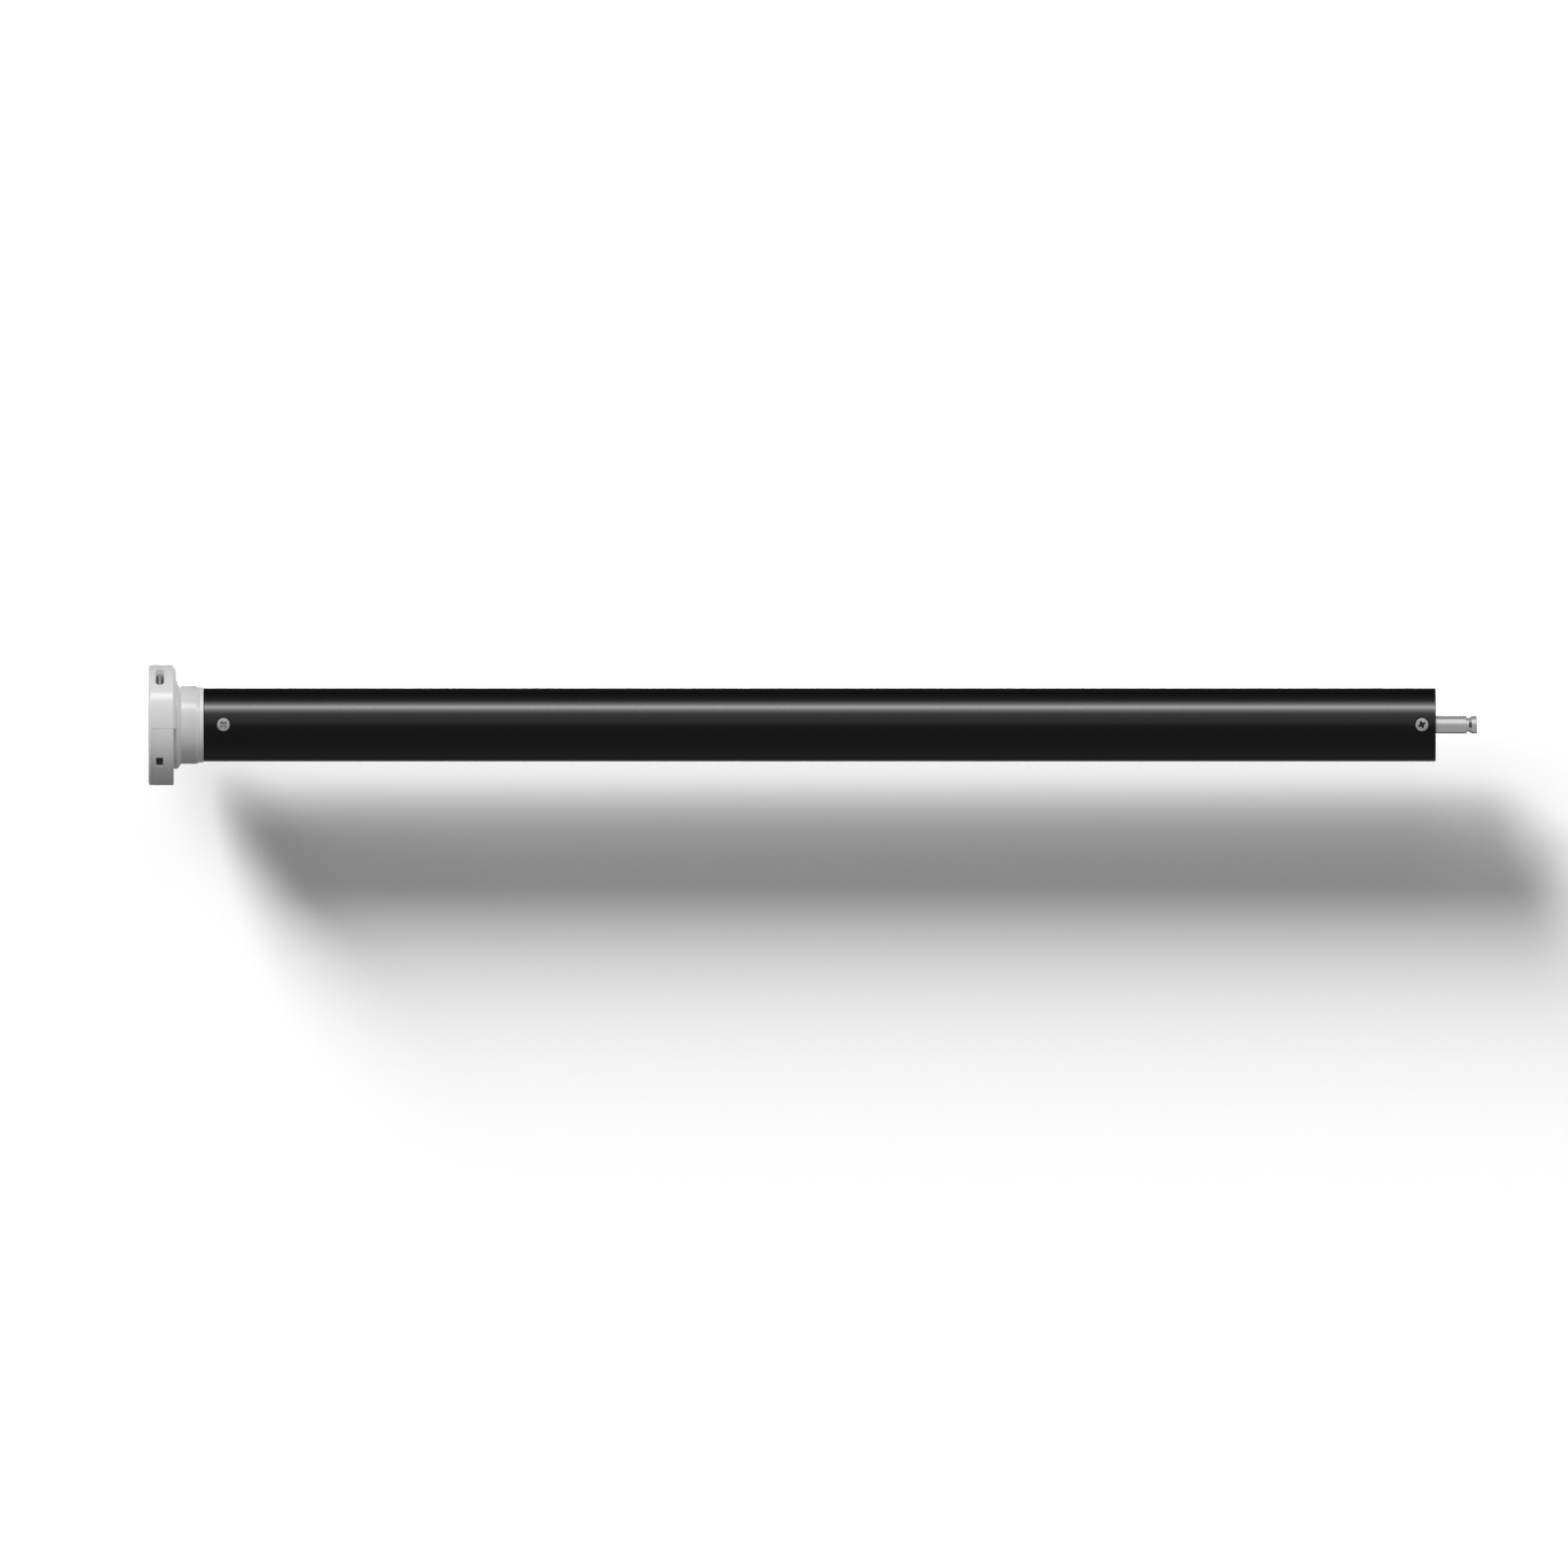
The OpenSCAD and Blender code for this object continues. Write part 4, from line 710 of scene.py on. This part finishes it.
def part_ring(x0, x1, r_in, r_out, first, last):
    """A ring of rectangular section from one angle to another in degrees, with its two ends."""
    ring = turned(np.array([(x0, r_in), (x0, r_out), (x1, r_out), (x1, r_in), (x0, r_in)]),
                  np.radians(np.linspace(first, last, part_turn_cells + 1)))
    return [ring] + [np.stack([ring[[0, 1], k], ring[[3, 2], k]]) for k in (0, -1)]


neck_body = turned(rounded([
    (neck_start, cable_bore_r, 0.2), (neck_start, flange_r, 0.2),
    (neck_start + flange_length, flange_r, 0.3), (ring_start - ring_play, flange_r - flange_taper, 0.05),
    (ring_start - ring_play, neck_r, 0), (tube_start, neck_r, 0), (tube_start, plug_r, 0),
    (neck_end, plug_r, 0.6), (neck_end, cable_bore_r, 0.2)]), full_turn())
neck_rib = part_ring(cover_end + rib_gap, neck_start + rib_root, flange_r - rib_inset - rib_width,
                     flange_r - rib_inset, 180 - rib_end_angle, 360 + rib_end_angle)
neck = piece("neck_moulding", [neck_body, *neck_rib], ring_moulding, "housing", "ring_plastic", ["neck"])

# Bracket inserts
# Four knurled brass inserts with an M3 thread, pressed into the head's face for the screws of
# the wall bracket.
insert_end, insert_circle_r = span("bracket_inserts")[1], 14.0
insert_r, thread_r, thread_pitch, thread_depth = 2.2, 1.5, 0.5, 0.14
knurl_ridges, knurl_depth, insert_cells, rows_per_turn = 30, 0.1, 96, 8


def along(x, r, angle, u, v, w):
    """Points at (u, v) from a line that runs along X at a distance from the axis, and w along it."""
    return np.stack(np.broadcast_arrays(
        x + w, (r + u) * math.cos(angle) - v * math.sin(angle),
        (r + u) * math.sin(angle) + v * math.cos(angle)), -1)


def knurled_insert():
    """Outside, the radius falls by the knurl's depth times the size of a sine, with two ridges to
    a wave. Inside, the bore's radius follows a wave that climbs one pitch a turn."""
    phi = np.linspace(0, TURN, insert_cells + 1)
    knurl = knurl_depth * np.abs(np.sin(knurl_ridges / 2 * phi))
    rows = np.arange(0, insert_end / thread_pitch + 0.01, 1 / rows_per_turn)[:, None]
    wave = np.abs((rows - phi / TURN) % 1 - 0.5) * 2
    fade = np.clip(np.minimum(rows, rows[::-1]), 0, 1)
    bore_w = rows * thread_pitch + 0 * phi
    bore_r = thread_r - thread_depth * fade * wave
    outside = [(thread_r + 0.15, insert_end), (insert_r - 0.2, insert_end), (insert_r, insert_end - 0.2),
               (insert_r, 0.45), (insert_r - 0.12, 0.35), (insert_r, 0.25), (insert_r, 0.1),
               (insert_r - 0.1, 0), (thread_r + 0.15, 0)]
    knurled = np.array([0, 0, 0, 1, 0, 0, 0, 0, 0])[:, None]
    outer = np.array(outside)[..., None] + 0 * phi
    r = np.concatenate([bore_r, outer[:, 0] - knurled * knurl, bore_r[:1]])
    w = np.concatenate([bore_w, outer[:, 1], bore_w[:1]])
    return r * np.cos(phi), r * np.sin(phi), w


u, v, w = knurled_insert()
piece("inserts_knurled", [along(0, insert_circle_r, a, u, v, w) for a in np.radians([0, 90, 180, 270])],
      turned_brass, "housing", "brass", ["bracket_inserts"])

# Charging port
# A small oval charging socket: a drawn and plated steel shell with a rolled lip, set below the
# rim, and the moulded grey tongue that carries its contacts.
port_angle = math.radians(127)
port_x, port_mouth, port_length = 3.84, 19.6, 7.35
CORNER_STEPS = 10


def outline(width, height, radius, inset):
    """A rectangle with rounded corners, drawn in by an inset: the corners' centres stay until the
    inset passes their radius, and then move in with it. height is along X, width round the axis."""
    corner = np.radians(np.linspace(0, 90, CORNER_STEPS + 1))
    angle = np.concatenate([corner, corner + math.pi / 2, corner + math.pi, corner + 1.5 * math.pi, [0]])
    repeats = [CORNER_STEPS + 1] * 4 + [1]
    side_u, side_v = np.repeat([1, -1, -1, 1, 1], repeats), np.repeat([1, 1, -1, -1, 1], repeats)
    inset = np.asarray(inset, float)[:, None]
    kept, bend = np.maximum(radius, inset), np.maximum(radius - inset, 0)
    return (side_u * (height / 2 - kept) + bend * np.cos(angle),
            side_v * (width / 2 - kept) + bend * np.sin(angle))


def pressed(x, angle, width, height, radius, profile):
    """A rounded rectangle's outline at each inset and height w of a profile."""
    inset, w = np.array(profile, float).T
    u, v = outline(width, height, radius, inset)
    return outward(x, angle, u, v, w[:, None] + 0 * u)


shell_width, shell_height, shell_wall = 8.94, 3.26, 0.3
port_back = port_mouth - port_length
shell_profile = [(shell_height / 2, port_back), (0.2, port_back), (0.06, port_back + 0.06),
                 (0, port_back + 0.2), (0, port_mouth - 0.12), (0.05, port_mouth - 0.03),
                 (0.14, port_mouth), (0.24, port_mouth - 0.04), (shell_wall, port_mouth - 0.15),
                 (shell_wall, port_back + shell_wall), (shell_height / 2, port_back + shell_wall)]
light_moulding = finish(
    "light_moulding",
    lambda place: place.noise(50).mix(grey(0.67, 0.002), grey(0.682, 0.002)),
    lambda place: 0.2 + 0.05 * place.noise(900),
    lambda place: place.noise(1500), 3e-6, Specular_IOR_Level=0.28)
plated_shell = finish(
    "plated_shell",
    lambda place: place.noise(700).mix(grey(0.6), grey(0.68)),
    lambda place: 0.34 + 0.12 * place.noise(1500),
    lambda place: place.noise(2500), 3e-6, Metallic=0.3)
tongue_moulding = finish(
    "tongue_moulding",
    lambda place: place.noise(300).mix(grey(0.39), grey(0.41)),
    lambda place: 0.3 + 0.1 * place.noise(900),
    lambda place: place.noise(2500), 3e-6)
shell = pressed(port_x, port_angle, shell_width, shell_height, shell_height / 2, shell_profile)
port_shell = piece("port_shell_drawn", [shell], plated_shell, "housing", "plain_steel", ["port_shell"])
base_play, base_length = 0.03, 1.5
base_inset = 2 * (shell_wall + base_play)
base_height, base_width = shell_height - base_inset, shell_width - base_inset
base_start = port_back + shell_wall
base_end = base_start + base_length
tongue_width, tongue_height, tongue_sunk = 6.7, 0.8, 0.7
tongue_top = port_mouth - tongue_sunk
tongue = [pressed(port_x, port_angle, base_width, base_height, base_height / 2,
                  [(base_height / 2, base_start), (0, base_start), (0, base_end),
                   (base_height / 2, base_end)]),
          pressed(port_x, port_angle, tongue_width, tongue_height, 0.2,
                  [(tongue_height / 2, base_start), (0, base_start), (0, tongue_top - 0.25),
                   (0.12, tongue_top - 0.05), (0.22, tongue_top), (tongue_height / 2, tongue_top)])]
piece("port_tongue_moulding", tongue, tongue_moulding, "housing", "light_plastic", ["port_tongue"])

# Setting button
# A small black key with softened edges in a window of the head cover. Its wider stop stays
# behind the window, and its stem presses the switch.
button_angle = math.radians(218.5)
button_x, button_width, button_height, button_top = 3.75, 3.4, 1.95, 19.5
stop_width, stop_height, stop_top, stop_bottom = 5.0, 2.75, 17.89, 16.89
stem_r, stem_bottom = 0.7, 14.79
key_root = (stop_top + stop_bottom) / 2
button = [
    pressed(button_x, button_angle, button_width, button_height, 0.35,
            [(button_height / 2, key_root), (0, key_root), (0, button_top - 0.18),
             (0.06, button_top - 0.05), (0.18, button_top), (0.6, button_top - 0.05),
             (button_height / 2, button_top - 0.06)]),
    pressed(button_x, button_angle, stop_width, stop_height, 0.3,
            [(button_height / 2, stop_bottom), (0.05, stop_bottom), (0, stop_bottom + 0.05),
             (0, stop_top - 0.05), (0.05, stop_top), (button_height / 2, stop_top)]),
    pressed(button_x, button_angle, 2 * stem_r, 2 * stem_r, stem_r,
            [(stem_r, stem_bottom), (0.15, stem_bottom), (0, stem_bottom + 0.15),
             (0, key_root), (stem_r, key_root)])]
piece("button_moulding", button, black_moulding, "button", "dark_plastic", ["program_button"])

# Head
# Two light grey mouldings: the body with the bracket face, and the C-shaped cover of the lower
# half, held from the back by two screws, with thin lips that narrow its seams to a fine groove.
head_body = copied("head_body_moulding", "head_body", 0.05, light_moulding, "housing", "light_plastic")
head_cover = copied("head_cover_moulding", "head_cover", 0.05, light_moulding, "housing", "light_plastic")
lip_start, lip_end, lip_width, lip_z = 1.475, cover_end - 0.025, 0.42, -1.63
lip_top, lip_bottom, lip_round = 20.25, 18.55, 0.03
seam_lips = [
    pressed((lip_start + lip_end) / 2, a, lip_width, lip_end - lip_start, 0.05,
            [(lip_width / 2, lip_bottom), (0, lip_bottom), (0, lip_top - lip_round),
             (lip_round, lip_top), (lip_width / 2, lip_top)]) + (0, 0, lip_z) for a in (0, math.pi)]
cover_start = span("head_cover")[0]
face_lip_reach, face_lip_root, face_lip_end_angle = 0.09, 0.1, 4.8
face_lip_inner_r, face_lip_outer_r = 18.45, 20.38
face_lip = part_ring(cover_start - face_lip_reach, cover_start + face_lip_root, face_lip_inner_r,
                     face_lip_outer_r, 180 + face_lip_end_angle, 360 - face_lip_end_angle)
piece("head_cover_lips", [*seam_lips, *face_lip], light_moulding, "housing", "light_plastic",
      ["head_cover"])
cover_screw_x, cover_screw_circle_r = 7.8, 16.6
pan_height, pan_shank_r, pan_tip, pan_pitch, pan_dome = 0.7, 0.8, -5.2, 0.4, 0.05
pan_head = [(1.2, 0), (1.42, -0.1), (1.5, -0.28), (1.5, -pan_height), (pan_shank_r, -pan_height)]
pan_recess = (0.85, 0.24, 0.21, 0.5)
pan_screws = []
for a, turn in np.radians([(198, 20), (342, 65)]):
    for u, v, w in screw(pan_head, pan_shank_r, pan_tip, pan_pitch, pan_dome, pan_recess, turn):
        pan_screws.append(along(cover_screw_x + pan_height, cover_screw_circle_r, a, u, v, w))
piece("cover_screws_plated", pan_screws, bright_steel, "housing", "screw_steel", ["cover_screws"])

# Studio
# A pale wall close behind the motor. Lamps from the front, sides and back give form, long strips
# the lines in the gloss, and two lamps that light only the wall the wide soft shadow on it.
view_centre_x, view_centre_z, view_height = 0.2153, -0.0201, 0.5312
camera_data = bpy.data.cameras.new("camera")
camera_data.type = "ORTHO"
camera_data.ortho_scale = view_height
camera_data.clip_end = 20
camera = bpy.data.objects.new("camera", camera_data)
camera.location = (view_centre_x, -2, view_centre_z)
camera.rotation_euler = (math.pi / 2, 0, 0)
bpy.context.scene.collection.objects.link(camera)
bpy.context.scene.camera = camera
bpy.context.scene.view_settings.view_transform = "Standard"


def sun(name, towards, strength, angle):
    """A distant lamp that shines from the given direction, over an angle in radians, and that
    gloss doesn't show."""
    data = bpy.data.lights.new(name, "SUN")
    data.energy, data.angle = strength, angle
    lamp = bpy.data.objects.new(name, data)
    lamp.rotation_euler = mathutils.Vector(towards).to_track_quat("Z", "Y").to_euler()
    lamp.visible_glossy = False
    bpy.context.scene.collection.objects.link(lamp)
    return lamp


strip_distance, strip_length = 1.0, 2.5


def strip(name, degrees, width, radiance):
    """A long lamp along X that only gloss shows, at an angle above the front: its power is its
    radiance times its area times pi."""
    elevation = math.radians(degrees)
    data = bpy.data.lights.new(name, "AREA")
    data.shape, data.size, data.size_y = "RECTANGLE", strip_length, width
    data.energy = radiance * strip_length * width * math.pi
    lamp = bpy.data.objects.new(name, data)
    away = mathutils.Vector((0, -math.cos(elevation), math.sin(elevation)))
    lamp.location = mathutils.Vector((view_centre_x, 0, 0)) + away * strip_distance
    lamp.rotation_euler = (math.pi / 2 - elevation, 0, 0)
    lamp.visible_diffuse = False
    bpy.context.scene.collection.objects.link(lamp)
    return lamp


def chosen(name, pieces, state="INCLUDE"):
    """A collection that names the pieces which a lamp lights, leaves out, or takes shadows from."""
    group = bpy.data.collections.new(name)
    for member in pieces:
        group.objects.link(member)
    for member in group.collection_objects:
        member.light_linking.link_state = state
    return group


wall_y, wall_half = 0.031, 0.6
wall_corners = [(view_centre_x + sx * wall_half, wall_y, view_centre_z + sz * wall_half)
                for sx, sz in ((-1, -1), (1, -1), (1, 1), (-1, 1))]
wall_mesh = bpy.data.meshes.new("wall")
wall_mesh.from_pydata(wall_corners, [], [(0, 1, 2, 3)])
wall = bpy.data.objects.new("wall", wall_mesh)
bpy.context.scene.collection.objects.link(wall)
wall.visible_diffuse = wall.visible_glossy = wall.visible_shadow = False
wall_paint = bpy.data.materials.new("wall_paint")
wall_paint.use_nodes = True
nodes = wall_paint.node_tree.nodes
nodes.remove(nodes["Principled BSDF"])
paint = Shade(wall_paint.node_tree)
front = paint.node("BsdfDiffuse", None, {"Color": grey(0.14)})
behind = paint.node("BsdfTransparent")
backfacing = paint.node("NewGeometry", output="Backfacing")
seen = paint.node("MixShader", None, {0: backfacing, 1: front, 2: behind})
wall_paint.node_tree.links.new(seen.socket, nodes["Material Output"].inputs["Surface"])
wall_mesh.materials.append(wall_paint)

sun("key_light", (0, -0.71, 0.704), 1.87, 0.5)
for side, towards, strength in (("left", (-0.96, -0.24, 0.15), 1.2), ("right", (0.87, -0.45, 0.2), 0.6)):
    side_light = sun(side + "_light", towards, strength, 0.5)
    side_light.light_linking.receiver_collection = chosen("not_lit_from_" + side, [wall], "EXCLUDE")
sun("back_light", (0.35, 0.87, 0.35), 1.9, 0.5)
front_strip = strip("front_strip", 56.5, 0.193, 14.0)
front_strip.light_linking.receiver_collection = chosen("not_lit_by_strip", [output_shaft], "EXCLUDE")
on_tube = chosen("lit_by_glow", [motor_tube])
glow_strip = strip("glow_strip", 57, 0.611, 4.0)
low_strip = strip("low_strip", 22, 0.73, 0.55)
glow_strip.light_linking.receiver_collection = low_strip.light_linking.receiver_collection = on_tube
shaft_strip = strip("shaft_strip", 115, 0.5, 0.27)
shaft_strip.light_linking.receiver_collection = chosen("lit_by_shaft_strip", [output_shaft])
strip("back_strip", 168, 0.15, 5.0)
port_light = sun("port_light", (0, -0.94, -0.34), 2.5, 0.1)
port_light.light_linking.receiver_collection = chosen("lit_by_port_light", [port_shell])
on_wall = chosen("lit_by_wall_lights", [wall])
low_casters = [neck, crown_ring, motor_tube, output_shaft]
for name, towards, strength, angle, casters in (
        ("steep_wall_light", (-0.524, -0.396, 0.754), 38.5, 0.4, low_casters),
        ("wide_wall_light", (-0.643, -0.416, 0.643), 13.6, 0.87, [head_body, head_cover, *low_casters])):
    wall_light = sun(name, towards, strength, angle)
    wall_light.light_linking.receiver_collection = on_wall
    wall_light.light_linking.blocker_collection = chosen(name + "_shadows", casters)

world = bpy.data.worlds.new("studio")
bpy.context.scene.world = world
world.use_nodes = True
world.cycles.sampling_method = "NONE"
air = Shade(world.node_tree)
rays = {name: air.node("LightPath", output=name) for name in ("Is Camera Ray", "Is Glossy Ray")}
direction = air.node("TexCoord", output="Generated")
up = air.node("SeparateXYZ", None, {0: direction}, output="Z")
ahead = air.node("SeparateXYZ", None, {0: direction}, output="Y")
elevation = air.math("ARCTAN2", up, -1.0 * ahead) * (1 / TURN) + 0.5
mirror_by_elevation = [(-180, 0.25), (-133, 0.1), (-100, 0.32), (-14, 0.33), (0, 0.385), (11, 0.48),
                       (24, 0.7), (37, 0.8), (64, 0.72), (80, 0.4), (97, 0.18), (118, 0.06),
                       (133, 0.05), (150, 0.08), (180, 0.25)]
mirror = elevation.node("ValToRGB", {"stops": [
    (angle / 360 + 0.5, grey(level)) for angle, level in mirror_by_elevation]}, {0: elevation})
glossy = rays["Is Glossy Ray"].mix(grey(0.22), mirror)
background = air.node("Background", None, {"Color": rays["Is Camera Ray"].mix(glossy, grey(1.0))})
world.node_tree.links.new(background.socket, world.node_tree.nodes["World Output"].inputs["Surface"])
